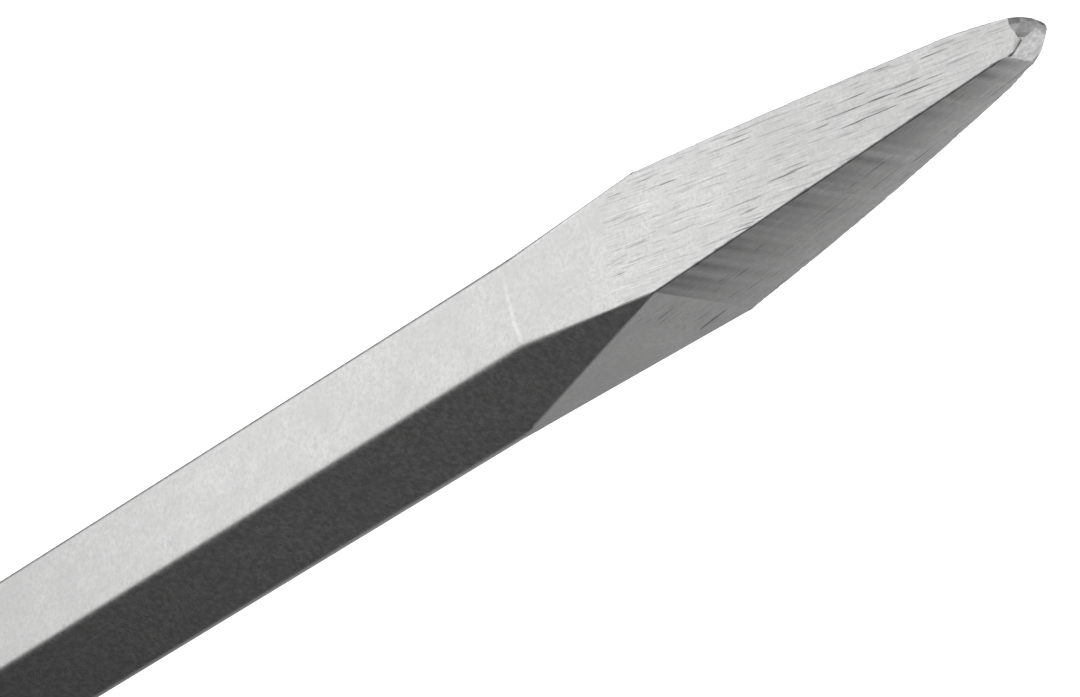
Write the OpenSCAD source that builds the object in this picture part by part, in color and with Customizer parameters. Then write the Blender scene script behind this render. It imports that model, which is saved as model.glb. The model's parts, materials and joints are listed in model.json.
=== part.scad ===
// Electric jackhammer with a hexagonal bull-point chisel.
// +X runs along the barrel to the chisel's tip and +Z is up. The origin is the
// centre of the underside of the rubber foot below the motor. Millimetres.

/* [Chisel] */
// Width of the hexagonal bar across its flats
hex_af = 28.6; // [28.4:0.1:28.8]
// Length of the chisel from its struck end to its tip
chisel_len = 508; // [480:1:600]
// Distance from the tip to the forged ring, where the top and bottom faces start to taper
ring_back = 125.4; // [115:0.1:135]
// Distance from the tip to where the two side faces start
side_face_back = 145.2; // [140:0.1:150]
// Distance from the tip to where the section becomes square
square_back = 91.9; // [80:0.1:100]
// Half the width of the square section there
square_half = 11.5; // [11:0.1:12]
// Distance beyond the tip at which the four faces would meet
apex_ahead = 38.7; // [36:0.1:42]
// Distance from the tip to the back corners of its four end facets
nib_back = 6.3; // [6:0.1:7]
// Play of the chisel along the barrel, between its stops
chisel_play = 16; // [12:1:16]

/* [Hammer mechanism] */
// Height of the barrel line above the floor
axis_z = 250; // [250:0.5:252]
// Crank throw, half the piston's stroke
throw = 18; // [16:0.5:18]
// Length of the connecting rod between its centres
rod_len = 85; // [84:0.5:86]
// Radius of the piston and the striker
piston_r = 23; // [22.5:0.1:23]
// Outer radius of the cylinder liner
liner_r = 28; // [28:0.1:28.2]
// Length of the striker's round body
striker_len = 52; // [50:1:52]
// Backward travel of the striker from the impact bolt
striker_travel = 32; // [28:1:32]

/* [Gears] */
// Teeth of the pinion on the armature shaft
pinion_teeth = 12; // [12:1:12]
// Teeth of the gear on the intermediate shaft
mid_gear_teeth = 36; // [36:1:36]
// Teeth of the pinion on the intermediate shaft
mid_pinion_teeth = 14; // [14:1:14]
// Teeth of the gear on the crankshaft
crank_gear_teeth = 42; // [42:1:42]
// Sideways offset of the intermediate shaft from the centre plane
mid_y = 26; // [24:0.5:26]

/* [Motor] */
// Outer radius of the motor housing
motor_r = 62; // [61:0.5:63]
// Thickness of the motor housing's wall
motor_wall = 5; // [4:0.5:5]
// Outer radius of the stator laminations
stator_r = 48; // [47:0.5:48]
// Outer radius of the armature laminations
armature_r = 27; // [26:0.5:27]
// Outer radius of the commutator
commutator_r = 18; // [17:0.5:18]

/* [Handles] */
// Half the thickness of the rear handle
handle_half_y = 20; // [19:0.5:21]
// Wall thickness of the rear handle's shells
shell_wall = 3; // [2.5:0.5:3]
// Radius of the side handle's steel rod
rod_r = 8; // [7:0.5:8]
// Radius of the side handle's rubber grip
side_grip_r = 17; // [16:0.5:18]
// Half the width of the side handle, between the middles of its two legs
side_half = 64; // [60:1:66]

/* [Hidden] */
$fn = 64;
fine = 0.05; // clearance of a running fit
through = 1; // how far a cutter runs past a face
thin = 0.01; // thickness of a hull's end plates

// Gear train
pressure_angle = 25;
fast_module = 1.5;
slow_module = 2;
tooth_play = 0.2;
fast_centres = (pinion_teeth + mid_gear_teeth) * fast_module / 2;
slow_centres = (mid_pinion_teeth + crank_gear_teeth) * slow_module / 2;
mid_x = -sqrt(pow(fast_centres, 2) - pow(mid_y, 2));
crank_x = mid_x - sqrt(pow(slow_centres, 2) - pow(mid_y, 2));
mid_from_motor = atan2(mid_y, mid_x);
crank_from_mid = atan2(-mid_y, crank_x - mid_x);

// Levels, from the floor up
cap_z = 6;
cap_top = 40;
case_z = 176;
case_floor_top = 190;
fast_gear_z = 193;
slow_gear_z = 206;
plate_z = 219;
plate_top = 226;
disc_top = axis_z - 14;
case_top = 283;
cover_z = 284;
cover_top = 292;

// Stations along the barrel line
wrist_x = crank_x - throw + rod_len;
piston_front = wrist_x + 20;
piston_rear = wrist_x - 14;
striker_rear = piston_front + 2 * throw + 0.5 + striker_travel;
striker_front = striker_rear + striker_len;
nose_len = 12;
bolt_rear = striker_front + nose_len;
liner_rear = wrist_x - 16.5;
liner_front = striker_front + 3;
damper_front = liner_front + 5;
bushing_front = damper_front + 30;
collar_rear = bushing_front + 0.5;
collar_front = collar_rear + 13.5;
holder_rear = collar_front + chisel_play + 1;
holder_flange = holder_rear + 16;
chisel_rear = holder_flange + 3;
holder_front = holder_flange + 127;
nose_front = holder_front + 20;
case_front = 45;
seat_x = holder_flange - 38;
fin_count = 10;
fin_pitch = 10;

// Impact bolt
bolt_tail_r = 14;
bolt_collar_r = 20;
bolt_spigot_r = 13.5;

// Tool holder and retainer
holder_r = 36;
socket_af = 29.1;
flange_r = 52;
flange_pcd = 88;
retainer_x = holder_flange + 82;
retainer_r = 8;
retainer_z = axis_z - hex_af / 2 - 2;
notch_depth = 6.3;

// Crank case
case_wall = 6;
rear_r = 46;
middle_r = 30.5;
front_half = 36;
pad_x = crank_x - rear_r - case_wall - 7.5;
bolt_half_y = 34;
bolt_half_z = 26;
cover_points = [for (s = [-1, 1], p = [[case_front - 13, front_half + 3],
    [mid_x, mid_y + middle_r + 5], [crank_x - 44, 25.5]]) [p[0], s * p[1]]];
motor_lug_r = 68;
cap_lug_r = 64;
lug_angles = [45, 135, 225, 315];

// Rear handle, a D in the X-Z plane
handle_front = pad_x;
handle_rear = handle_front - 102;
handle_low = 154;
handle_top = 318;
gap_front = handle_front - 18;
gap_rear = handle_front - 66;
gap_low = 184;
gap_top = 288;
tongue_back = handle_front - 13;
trigger_x = gap_rear - 7;
trigger_z = 268;
switch_x = gap_rear - 17.5;
gland_x = gap_rear;
button_x = gap_rear - 22;
button_z = 244;
post_points = [[handle_front - 9, 170], [handle_front - 9, 302], [gap_rear + 10, 169],
    [gap_rear + 10, 303], [gap_rear - 24, 192], [gap_rear - 24, 282]];
tongue_points = [[handle_front - 7, 218], [handle_front - 7, 254]];

// Side handle
band_half = 12;
band_r = 45;
seat_r = 37;
screw_z = axis_z - 56;
lug_low = 212;
lug_top = 230;
bend_r = 20;

// Cylinders and rings on the barrel line, and upright ones on a chosen axis
module along_x(x0, x1, r) {
    translate([x0, 0, axis_z]) rotate([0, 90, 0]) cylinder(r = r, h = x1 - x0);
}
module taper_x(x0, x1, r0, r1) {
    translate([x0, 0, axis_z]) rotate([0, 90, 0]) cylinder(r1 = r0, r2 = r1, h = x1 - x0);
}
module ring_x(x0, x1, outer, inner) {
    difference() {
        along_x(x0, x1, outer);
        along_x(x0 - through, x1 + through, inner);
    }
}
module upright(at, z0, z1, r) {
    translate([at[0], at[1], z0]) cylinder(r = r, h = z1 - z0);
}
module ring_z(at, z0, z1, outer, inner) {
    difference() {
        upright(at, z0, z1, outer);
        upright(at, z0 - through, z1 + through, inner);
    }
}
module along_y(x, z, y0, y1, r) {
    translate([x, y1, z]) rotate([90, 0, 0]) cylinder(r = r, h = y1 - y0);
}
module box(low, high) {
    translate(low) cube(high - low);
}
// A hexagonal bar on the barrel line with two of its corners at +Y and -Y
module hex_x(x0, x1, af) {
    translate([x0, 0, axis_z]) rotate([0, 90, 0]) rotate([0, 0, 90])
        cylinder(r = af / sqrt(3), h = x1 - x0, $fn = 6);
}
// A rounded rectangle in the plane, from exact circles and squares
module rounded(x0, x1, y0, y1, r) {
    translate([x0 + r, y0]) square([x1 - x0 - 2 * r, y1 - y0]);
    translate([x0, y0 + r]) square([x1 - x0, y1 - y0 - 2 * r]);
    for (x = [x0 + r, x1 - r], y = [y0 + r, y1 - r]) translate([x, y]) circle(r = r);
}
// An outline in the X-Z plane made solid from y0 to y1
module in_xz(y0, y1) {
    translate([0, y1, 0]) rotate([90, 0, 0]) linear_extrude(y1 - y0) children();
}
// An outline in the Y-Z plane made solid from x0 to x1
module in_yz(x0, x1) {
    translate([x0, 0, 0]) rotate([90, 0, 90]) linear_extrude(x1 - x0) children();
}
// A cap screw that points along +Z, its head's underside at the origin
module cap_screw(r, length) {
    difference() {
        union() {
            cylinder(r = r, h = length);
            translate([0, 0, -1.7 * r]) cylinder(r = 1.65 * r, h = 1.7 * r);
        }
        translate([0, 0, -1.7 * r - through]) cylinder(r = r, h = r + through, $fn = 6);
    }
}

// Involute gear teeth
function unwrap(r, base) = r <= base ? 0 : tan(acos(base / r)) * 180 / PI - acos(base / r);
function half_tooth(r, pitch, teeth) = 90 / teeth - tooth_play / pitch * 90 / PI
    + unwrap(pitch, pitch * cos(pressure_angle)) - unwrap(r, pitch * cos(pressure_angle));
function flank_radii(pitch, size) = [for (k = [0:3]) pitch - 1.15 * size + k * 2.05 * size / 3];
module gear_outline(teeth, size) {
    pitch = teeth * size / 2;
    radii = flank_radii(pitch, size);
    polygon([for (tooth = [0:teeth - 1], side = [-1, 1], k = [0:3])
        let (r = side < 0 ? radii[k] : radii[3 - k],
            a = 360 * tooth / teeth + side * half_tooth(r, pitch, teeth))
        [r * cos(a), r * sin(a)]]);
}
module gear(at, z0, z1, teeth, size, turned) {
    translate([at[0], at[1], z0]) rotate([0, 0, turned])
        linear_extrude(z1 - z0) gear_outline(teeth, size);
}

// Ball bearings: [centre, z0, width, bore radius, outer radius, balls]
motor_low_bearing = [[0, 0], 19, 9, 5, 15, 7];
motor_top_bearing = [[0, 0], 178, 12, 8.5, 20, 8];
crank_low_bearing = [[crank_x, 0], 180, 10, 8.5, 17.5, 9];
crank_top_bearing = [[crank_x, 0], plate_z, 7, 12.5, 18.5, 14];
bearings = [motor_low_bearing, motor_top_bearing, crank_low_bearing, crank_top_bearing];
function ball_path(b) = (b[3] + b[4]) / 2;
function ball_r(b) = 0.29 * (b[4] - b[3]);
module ball_groove(b) {
    translate([b[0][0], b[0][1], b[1] + b[2] / 2]) rotate_extrude()
        translate([ball_path(b), 0]) circle(r = ball_r(b) + fine);
}
module outer_race(b) {
    difference() {
        ring_z(b[0], b[1], b[1] + b[2], b[4], ball_path(b) + 0.6 * ball_r(b));
        ball_groove(b);
    }
}
module inner_race(b) {
    difference() {
        ring_z(b[0], b[1], b[1] + b[2], ball_path(b) - 0.6 * ball_r(b), b[3]);
        ball_groove(b);
    }
}
module balls(b) {
    for (i = [1:b[5]]) translate([b[0][0], b[0][1], b[1] + b[2] / 2])
        rotate([0, 0, 360 * i / b[5]]) translate([ball_path(b), 0, 0])
            sphere(r = ball_r(b));
}

// A coil spring along +Z, swept as one closed tube of six-sided rings
function coil_point(t, k, coil_r, wire_r, height, turns) =
    let (a = 360 * turns * t, w = 60 * k, out = coil_r + wire_r * cos(w))
    [out * cos(a), out * sin(a), wire_r + (height - 2 * wire_r) * t + wire_r * sin(w)];
module coil(coil_r, wire_r, height, turns) {
    rings = turns * 10;
    points = [for (i = [0:rings], k = [0:5])
        coil_point(i / rings, k, coil_r, wire_r, height, turns)];
    sides = [for (i = [0:rings - 1], k = [0:5])
        [6 * i + k, 6 * i + (k + 1) % 6, 6 * i + 6 + (k + 1) % 6, 6 * i + 6 + k]];
    ends = [[for (k = [5:-1:0]) k], [for (k = [0:5]) 6 * rings + k]];
    polyhedron(points, concat(sides, ends));
}

// Crank case: a tub that holds the gears and the crank, open at its top
module case_outline(grow) {
    hull() {
        translate([crank_x, 0]) circle(r = rear_r + grow, $fn = 48);
        for (s = [-1, 1]) translate([mid_x, s * mid_y]) circle(r = middle_r + grow, $fn = 48);
        translate([0, -front_half - grow]) square([case_front - 7 + grow, 2 * (front_half + grow)]);
    }
}
module crank_case() {
    color("dimgray") difference() {
        union() {
            difference() {
                union() {
                    translate([0, 0, case_z]) linear_extrude(case_top - case_z)
                        case_outline(case_wall);
                    upright([0, 0], case_z, case_floor_top, motor_r);
                    for (a = lug_angles)
                        upright(motor_lug_r * [cos(a), sin(a)], case_z, case_floor_top, 8);
                    box([pad_x, -24, 195], [crank_x - rear_r, 24, 277]);
                    box([tongue_back, -8, 205], [pad_x + through, 8, 267]);
                }
                translate([0, 0, case_floor_top]) linear_extrude(case_top) case_outline(0);
            }
            for (p = cover_points) upright(p, case_floor_top - through, case_top, 5.5);
            for (y = [-1, 1], z = [-1, 1]) translate([0, y * bolt_half_y, z * bolt_half_z])
                along_x(case_front - 21, case_front, 7);
            box([case_front - 7, -front_half - case_wall, case_z],
                [case_front, front_half + case_wall, case_top]);
        }
        for (p = cover_points) upright(p, case_top - 20, case_top + through, 2.5);
        for (y = [-1, 1], z = [-1, 1]) translate([0, y * bolt_half_y, z * bolt_half_z])
            along_x(case_front - 9, case_front + through, 4);
        for (a = lug_angles)
            upright(motor_lug_r * [cos(a), sin(a)], case_z - through, case_z + 12, 3);
        along_x(case_front - 8, case_front + through, liner_r);
        for (b = [motor_top_bearing, crank_low_bearing])
            upright(b[0], b[1], case_floor_top + through, b[4]);
        upright([0, 0], case_z - through, case_floor_top, 10);
        upright([mid_x, mid_y], 180, case_floor_top + through, 9);
        for (p = tongue_points) along_y(p[0], p[1], -9, 9, 2);
    }
}
module gear_plate() {
    color("gray") difference() {
        translate([0, 0, plate_z]) linear_extrude(plate_top - plate_z) case_outline(0);
        for (p = cover_points) upright(p, plate_z - through, plate_top + through, 5.5);
        for (y = [-1, 1], z = [-1, 1]) translate([0, y * bolt_half_y, z * bolt_half_z])
            along_x(case_front - 21, case_front, 7);
        upright([crank_x, 0], plate_z - through, plate_top + through, 18.5);
        upright([mid_x, mid_y], plate_z - through, plate_top + through, 9);
        box([liner_rear - 2, -16, plate_z - through], [case_front, 16, plate_top + through]);
    }
}
module crank_case_cover() {
    color("dimgray") difference() {
        union() {
            translate([0, 0, cover_z]) linear_extrude(cover_top - cover_z) case_outline(case_wall);
            for (p = cover_points) upright(p, cover_z, cover_top, 7);
        }
        for (p = cover_points) upright(p, cover_z - through, cover_top + through, 2.5);
        upright([crank_x, 0], cover_z - through, cover_top + through, 11);
        upright([0, 0], cover_z - through, cover_top + through, 9);
    }
}
module cover_gasket() {
    color("black") difference() {
        union() {
            difference() {
                translate([0, 0, case_top]) linear_extrude(cover_z - case_top)
                    case_outline(case_wall);
                translate([0, 0, case_top - through]) linear_extrude(3) case_outline(0);
            }
            for (p = cover_points) upright(p, case_top, cover_z, 5.5);
        }
        for (p = cover_points) upright(p, case_top - through, cover_z + through, 2.5);
    }
}
module cover_screws() {
    color("silver") for (p = cover_points) translate([p[0], p[1], cover_top])
        mirror([0, 0, 1]) cap_screw(2.5, 24);
}
module oil_cap() {
    color("black") difference() {
        union() {
            upright([crank_x, 0], cover_z, cover_top, 11);
            upright([crank_x, 0], cover_top, cover_top + 9, 16);
        }
        for (a = [0:30:330]) translate([crank_x, 0, cover_top + 2]) rotate([0, 0, a])
            translate([17, 0, 0]) cylinder(r = 2.5, h = 10);
        box([crank_x - 11, -2, cover_top + 6], [crank_x + 11, 2, cover_top + 10]);
    }
}
module oil_sight_glass() {
    color("lightyellow") upright([0, 0], cover_z, cover_top + 0.5, 9);
}

// Barrel line, from the crank case to the nose
module barrel() {
    color("silver") difference() {
        union() {
            in_yz(case_front, case_front + 12)
                rounded(-front_half - 6, front_half + 6, axis_z - 41, axis_z + 41, 8);
            along_x(case_front, holder_flange, 34);
            for (i = [0:fin_count - 1]) along_x(case_front + 21 + i * fin_pitch,
                case_front + 24.5 + i * fin_pitch, 43);
            along_x(seat_x - 14, seat_x + 14, seat_r);
            along_x(holder_flange - 14, holder_flange, flange_r);
        }
        along_x(case_front - through, holder_flange + through, liner_r);
        for (y = [-1, 1], z = [-1, 1]) translate([0, y * bolt_half_y, z * bolt_half_z])
            along_x(case_front - through, case_front + 13, 4);
        flange_holes(holder_flange - 15, holder_flange + through);
    }
}
module flange_holes(x0, x1) {
    for (a = lug_angles) translate([0, flange_pcd / 2 * cos(a), flange_pcd / 2 * sin(a)])
        along_x(x0, x1, 4);
}
module flange_bolts() {
    color("dimgray") {
        for (y = [-1, 1], z = [-1, 1])
            translate([case_front + 12, y * bolt_half_y, axis_z + z * bolt_half_z])
                rotate([0, -90, 0]) cap_screw(4, 20);
        for (a = lug_angles) translate([holder_flange + 12, flange_pcd / 2 * cos(a),
            axis_z + flange_pcd / 2 * sin(a)]) rotate([0, -90, 0]) cap_screw(4, 26);
    }
}
module cylinder_liner() {
    color("silver") ring_x(liner_rear, liner_front, liner_r, piston_r + fine);
}
module rubber_damper() {
    color("black") ring_x(liner_front, damper_front, liner_r, 15);
}
module impact_bolt_bushing() {
    color("goldenrod") ring_x(damper_front, bushing_front, liner_r, bolt_tail_r + fine);
}
module tool_holder() {
    color("dimgray") difference() {
        union() {
            along_x(holder_rear, holder_flange, liner_r);
            along_x(holder_flange, holder_flange + 12, flange_r);
            taper_x(holder_flange + 12, holder_flange + 22, 37, holder_r);
            along_x(holder_flange + 22, holder_front, holder_r);
            along_x(holder_front, holder_front + 8, 30);
        }
        along_x(holder_rear - through, chisel_rear, bolt_spigot_r + fine);
        hex_x(chisel_rear, holder_front + 9, socket_af);
        flange_holes(holder_flange - through, holder_flange + 13);
        along_y(retainer_x, retainer_z, -40, 40, retainer_r + fine);
        along_y(retainer_x - 16, retainer_z, 24, 40, 4);
    }
}
module nose_cap() {
    color("black") difference() {
        union() {
            along_x(holder_front, nose_front - 8, 34);
            taper_x(nose_front - 8, nose_front, 34, 27);
        }
        along_x(holder_front - through, holder_front + 8, 30);
        hex_x(holder_front, nose_front + through, hex_af + 2);
    }
}
module retainer_detent() {
    color("silver") {
        along_y(retainer_x - 16, retainer_z, 24, 32.5, 4);
        translate([retainer_x - 16, 32.5, retainer_z]) sphere(r = 3.5);
    }
}

// Motor
module motor_lugs(radius, z0, z1, r) {
    for (a = lug_angles) upright(radius * [cos(a), sin(a)], z0, z1, r);
}
module wall_slots(count, z0, z1, width) {
    for (i = [0:count - 1]) rotate([0, 0, 360 * (i + 0.5) / count])
        box([motor_r - 12, -width / 2, z0], [motor_r + 12, width / 2, z1]);
}
module motor_housing() {
    inner = motor_r - motor_wall;
    color("darkslategray") difference() {
        union() {
            difference() {
                union() {
                    upright([0, 0], cap_top, case_z, motor_r);
                    motor_lugs(motor_lug_r, case_z - 10, case_z, 8);
                    motor_lugs(cap_lug_r, cap_top, cap_top + 16, 7);
                    for (i = [0:23]) rotate([0, 0, 15 * i])
                        box([motor_r - 1, -1.5, 84], [motor_r + 2.5, 1.5, 140]);
                    along_y(0, 60, -motor_r - 4, motor_r + 4, 12);
                }
                upright([0, 0], cap_top - through, case_z + through, inner);
            }
            for (a = [22.5:45:360]) rotate([0, 0, a])
                box([stator_r + 0.2, -4, 80], [inner + 1, 4, 144]);
            for (s = [-1, 1]) mirror([0, s < 0 ? 1 : 0, 0]) along_y(0, 60, 46, 60, 12);
        }
        for (s = [-1, 1]) mirror([0, s < 0 ? 1 : 0, 0]) {
            along_y(0, 60, 50, motor_r + 5, 9);
            box([-6, 45, 52], [6, 51, 68]);
        }
        motor_lugs(motor_lug_r, case_z - 11, case_z + through, 3);
        motor_lugs(cap_lug_r, cap_top - through, cap_top + 14, 2.5);
        wall_slots(16, 149, 163, 5);
    }
}
module motor_end_cap() {
    color("darkslategray") difference() {
        union() {
            difference() {
                upright([0, 0], cap_z, cap_top, motor_r);
                upright([0, 0], cap_z + 6, cap_top + through, motor_r - motor_wall);
                wall_slots(24, 18, 32, 3.5);
            }
            difference() {
                motor_lugs(cap_lug_r, 28, cap_top, 7);
                upright([0, 0], cap_z, cap_top + through, motor_r - motor_wall);
            }
            upright([0, 0], cap_z, 28, 20);
        }
        upright([0, 0], 19, 29, 15);
        upright([0, 0], 14, 20, 8);
        motor_lugs(cap_lug_r, 27, cap_top + through, 2.5);
        motor_lugs(cap_lug_r, 20, 28, 4.6);
    }
}
module motor_screws() {
    color("silver") for (a = lug_angles) {
        translate([motor_lug_r * cos(a), motor_lug_r * sin(a), case_z - 10]) cap_screw(3, 20);
        translate([cap_lug_r * cos(a), cap_lug_r * sin(a), 28]) cap_screw(2.5, 24);
    }
}
module rubber_foot() {
    color("black") difference() {
        upright([0, 0], 0, cap_z, 48);
        for (r = [22, 35]) ring_z([0, 0], -through, 1.5, r, r - 3);
    }
}
// A ring sector about the motor axis, centred on the +X or -X side
module sector(z0, z1, inner, outer, half_angle, mid_angle) {
    translate([0, 0, z0]) rotate([0, 0, mid_angle - half_angle])
        rotate_extrude(angle = 2 * half_angle)
            translate([inner, 0]) square([outer - inner, z1 - z0]);
}
module coil_sides() {
    for (mid_angle = [0, 180]) difference() {
        sector(72, 149, 30, 38, 60, mid_angle);
        sector(80, 144, 29, 39, 38, mid_angle);
    }
}
module stator_core() {
    color("slategray") difference() {
        ring_z([0, 0], 80, 144, stator_r, armature_r + 0.6);
        coil_sides();
    }
}
module field_coils() {
    color("chocolate") coil_sides();
}
module brush_pair() {
    for (s = [0, 1]) mirror([0, s, 0]) children();
}
module brush_holders() {
    color("goldenrod") brush_pair() difference() {
        box([-6, 22, 52], [6, 50, 68]);
        box([-4.1, 21, 53.9], [4.1, 51, 66.1]);
    }
}
module carbon_brushes() {
    color("black") brush_pair() box([-4, commutator_r + 0.3, 54], [4, 38, 66]);
}
module brush_springs() {
    color("silver") brush_pair() translate([0, 38, 60]) rotate([-90, 0, 0]) coil(3, 0.5, 14, 5);
}
module brush_caps() {
    color("black") brush_pair() difference() {
        union() {
            along_y(0, 60, 52, motor_r + 4, 9);
            along_y(0, 60, motor_r + 4, motor_r + 7, 11);
        }
        box([-8, motor_r + 5, 59], [8, motor_r + 8, 61]);
    }
}
module bearing_outer_races() {
    color("silver") for (b = bearings) outer_race(b);
}
module bearing_balls() {
    color("white") for (b = bearings) balls(b);
}
module intermediate_bushes() {
    color("goldenrod") {
        ring_z([mid_x, mid_y], 180, case_floor_top, 9, 6 + fine);
        ring_z([mid_x, mid_y], plate_z, plate_top, 9, 6 + fine);
    }
}
module armature_shaft() {
    color("silver") {
        upright([0, 0], 15, 28, 5);
        upright([0, 0], 28, 178, 8);
        upright([0, 0], 178, fast_gear_z - 1, 8.5);
        gear([0, 0], fast_gear_z - 1, fast_gear_z + 11, pinion_teeth, fast_module, mid_from_motor);
    }
}
module armature_core() {
    color("slategray") difference() {
        ring_z([0, 0], 82, 142, armature_r, 8);
        winding_bars(27.5);
    }
}
module winding_bars(outer) {
    for (i = [0:15]) rotate([0, 0, 22.5 * i]) box([18, -1.6, 76], [outer, 1.6, 148]);
}
module armature_windings() {
    color("chocolate") {
        ring_z([0, 0], 74, 82, 25, 8);
        ring_z([0, 0], 142, 149, 25, 8);
        winding_bars(24.9);
    }
}
module commutator() {
    color("peru") difference() {
        ring_z([0, 0], 50, 72, commutator_r, 8);
        for (i = [0:23]) rotate([0, 0, 15 * i]) box([commutator_r - 2, -0.3, 49], [20, 0.3, 70]);
    }
}
module cooling_fan() {
    color("black") {
        difference() {
            union() {
                upright([0, 0], 150, 164, 14);
                upright([0, 0], 162, 164, 50);
            }
            upright([0, 0], 149, 165, 8);
        }
        for (i = [0:11]) rotate([0, 0, 30 * i]) box([13, -1, 151], [49, 1, 163]);
    }
}
module armature_bearing_inners() {
    color("silver") {
        inner_race(motor_low_bearing);
        inner_race(motor_top_bearing);
    }
}
module intermediate_shaft() {
    color("silver") {
        upright([mid_x, mid_y], 181, 203, 6);
        upright([mid_x, mid_y], 203, plate_z - 0.3, 9);
        upright([mid_x, mid_y], 203, plate_top, 6);
        gear([mid_x, mid_y], slow_gear_z - 2, plate_z - 0.5, mid_pinion_teeth, slow_module,
            crank_from_mid);
    }
}
module intermediate_gear() {
    color("gray") difference() {
        gear([mid_x, mid_y], fast_gear_z, fast_gear_z + 10, mid_gear_teeth, fast_module,
            mid_from_motor + 180 + 180 / mid_gear_teeth);
        upright([mid_x, mid_y], fast_gear_z - through, fast_gear_z + 11, 6);
        for (a = [0:60:300]) upright([mid_x + 16 * cos(a), mid_y + 16 * sin(a)],
            fast_gear_z - through, fast_gear_z + 11, 4);
    }
}
module crankshaft() {
    color("silver") difference() {
        union() {
            upright([crank_x, 0], 181, case_floor_top, 8.5);
            upright([crank_x, 0], case_floor_top, plate_top + 0.4, 12.5);
            upright([crank_x, 0], plate_top + 0.4, disc_top, 36);
        }
        for (y = [-22, 22]) upright([crank_x - 4, y], plate_top, disc_top + through, 7);
    }
}
module crank_gear() {
    color("gray") difference() {
        gear([crank_x, 0], slow_gear_z, slow_gear_z + 12, crank_gear_teeth, slow_module,
            crank_from_mid + 180 + 180 / crank_gear_teeth);
        upright([crank_x, 0], slow_gear_z - through, slow_gear_z + 13, 12.5);
        for (a = [0:60:300]) upright([crank_x + 26 * cos(a), 26 * sin(a)],
            slow_gear_z - through, slow_gear_z + 13, 6);
    }
}
module crank_bearing_inners() {
    color("silver") {
        inner_race(crank_low_bearing);
        inner_race(crank_top_bearing);
    }
}

// Hammer mechanism
module piston() {
    color("lightgray") difference() {
        along_x(piston_rear, piston_front, piston_r);
        box([piston_rear - through, -13, axis_z - 9.4], [wrist_x + 11.5, 13, axis_z + 9.4]);
        upright([wrist_x, 0], axis_z - 25, axis_z + 25, 5);
        ring_x(piston_front - 6, piston_front - 3, piston_r + 1, piston_r - 2);
    }
}
module wrist_pin() {
    color("silver") upright([wrist_x, 0], axis_z - 21.5, axis_z + 21.5, 5);
}
module piston_ring() {
    color("black") ring_x(piston_front - 6, piston_front - 3, piston_r + 0.02, piston_r - 2);
}
module connecting_rod() {
    pin_x = wrist_x - rod_len;
    color("gray") difference() {
        union() {
            upright([pin_x, 0], axis_z - 9, axis_z + 9, 14);
            upright([wrist_x, 0], axis_z - 9, axis_z + 9, 10.5);
            box([pin_x, -6, axis_z - 6], [wrist_x, 6, axis_z + 6]);
        }
        upright([pin_x, 0], axis_z - 10, axis_z + 10, 8);
        upright([wrist_x, 0], axis_z - 10, axis_z + 10, 5 + fine);
        for (s = [0, 1]) mirror([0, s, 0])
            box([pin_x + 18, 3.5, axis_z - 7], [wrist_x - 14, 7, axis_z + 7]);
    }
}
module crank_pin() {
    color("silver") upright([wrist_x - rod_len, 0], disc_top + fine, axis_z + 11, 8);
}
module striker() {
    color("silver") difference() {
        union() {
            along_x(striker_rear, striker_front, piston_r);
            along_x(striker_rear, striker_front + nose_len, 13);
        }
        for (x = [striker_rear + 8, striker_front - 12])
            ring_x(x, x + 3, piston_r + 1, piston_r - 1.5);
    }
}
module impact_bolt() {
    color("silver") {
        along_x(bolt_rear, collar_rear, bolt_tail_r);
        along_x(collar_rear, collar_front, bolt_collar_r);
        along_x(collar_front, chisel_rear, bolt_spigot_r);
    }
}

// Chisel: a hexagonal bar drawn down to a four-sided point
function point_half(back) = square_half * (apex_ahead + back) / (apex_ahead + square_back);
module end_plate(back, half_y, half_z) {
    translate([chisel_rear + chisel_len - back, 0, axis_z])
        cube([thin, 2 * half_y, 2 * half_z], center = true);
}
module chisel() {
    tip = chisel_rear + chisel_len;
    facet = point_half(nib_back / 2);
    color("silver") difference() {
        union() {
            hex_x(chisel_rear, tip - side_face_back, hex_af);
            hull() {
                hex_x(tip - side_face_back - thin, tip - side_face_back, hex_af);
                end_plate(ring_back, hex_af / sqrt(12), hex_af / 2);
                end_plate(square_back, square_half, square_half);
                end_plate(nib_back, point_half(nib_back), point_half(nib_back));
                end_plate(nib_back / 2, facet, thin);
                end_plate(nib_back / 2, thin, facet);
                end_plate(thin, 0.4, 0.4);
            }
        }
        box([retainer_x - chisel_play - 9, -20, axis_z - 20],
            [retainer_x + 9, 20, axis_z - hex_af / 2 + notch_depth]);
    }
}
module retainer_lever() {
    arm = 56;
    color("firebrick") {
        difference() {
            along_y(retainer_x, retainer_z, -37, 38, retainer_r);
            box([retainer_x - 10, -20, retainer_z - 10], [retainer_x + 10, 20, retainer_z - 1.5]);
        }
        along_y(retainer_x, retainer_z, -41, -37, 11);
        along_y(retainer_x, retainer_z, 37, 47, 12);
        along_y(retainer_x - arm, retainer_z, 38, 46, 7);
        box([retainer_x - arm, 38, retainer_z - 7], [retainer_x, 46, retainer_z + 7]);
    }
}

// Rear handle
module handle_outline(inset) {
    difference() {
        rounded(handle_rear + inset, handle_front - inset, handle_low + inset,
            handle_top - inset, 26 - inset);
        rounded(gap_rear - inset, gap_front + inset, gap_low - inset, gap_top + inset,
            16 + inset);
    }
}
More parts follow.
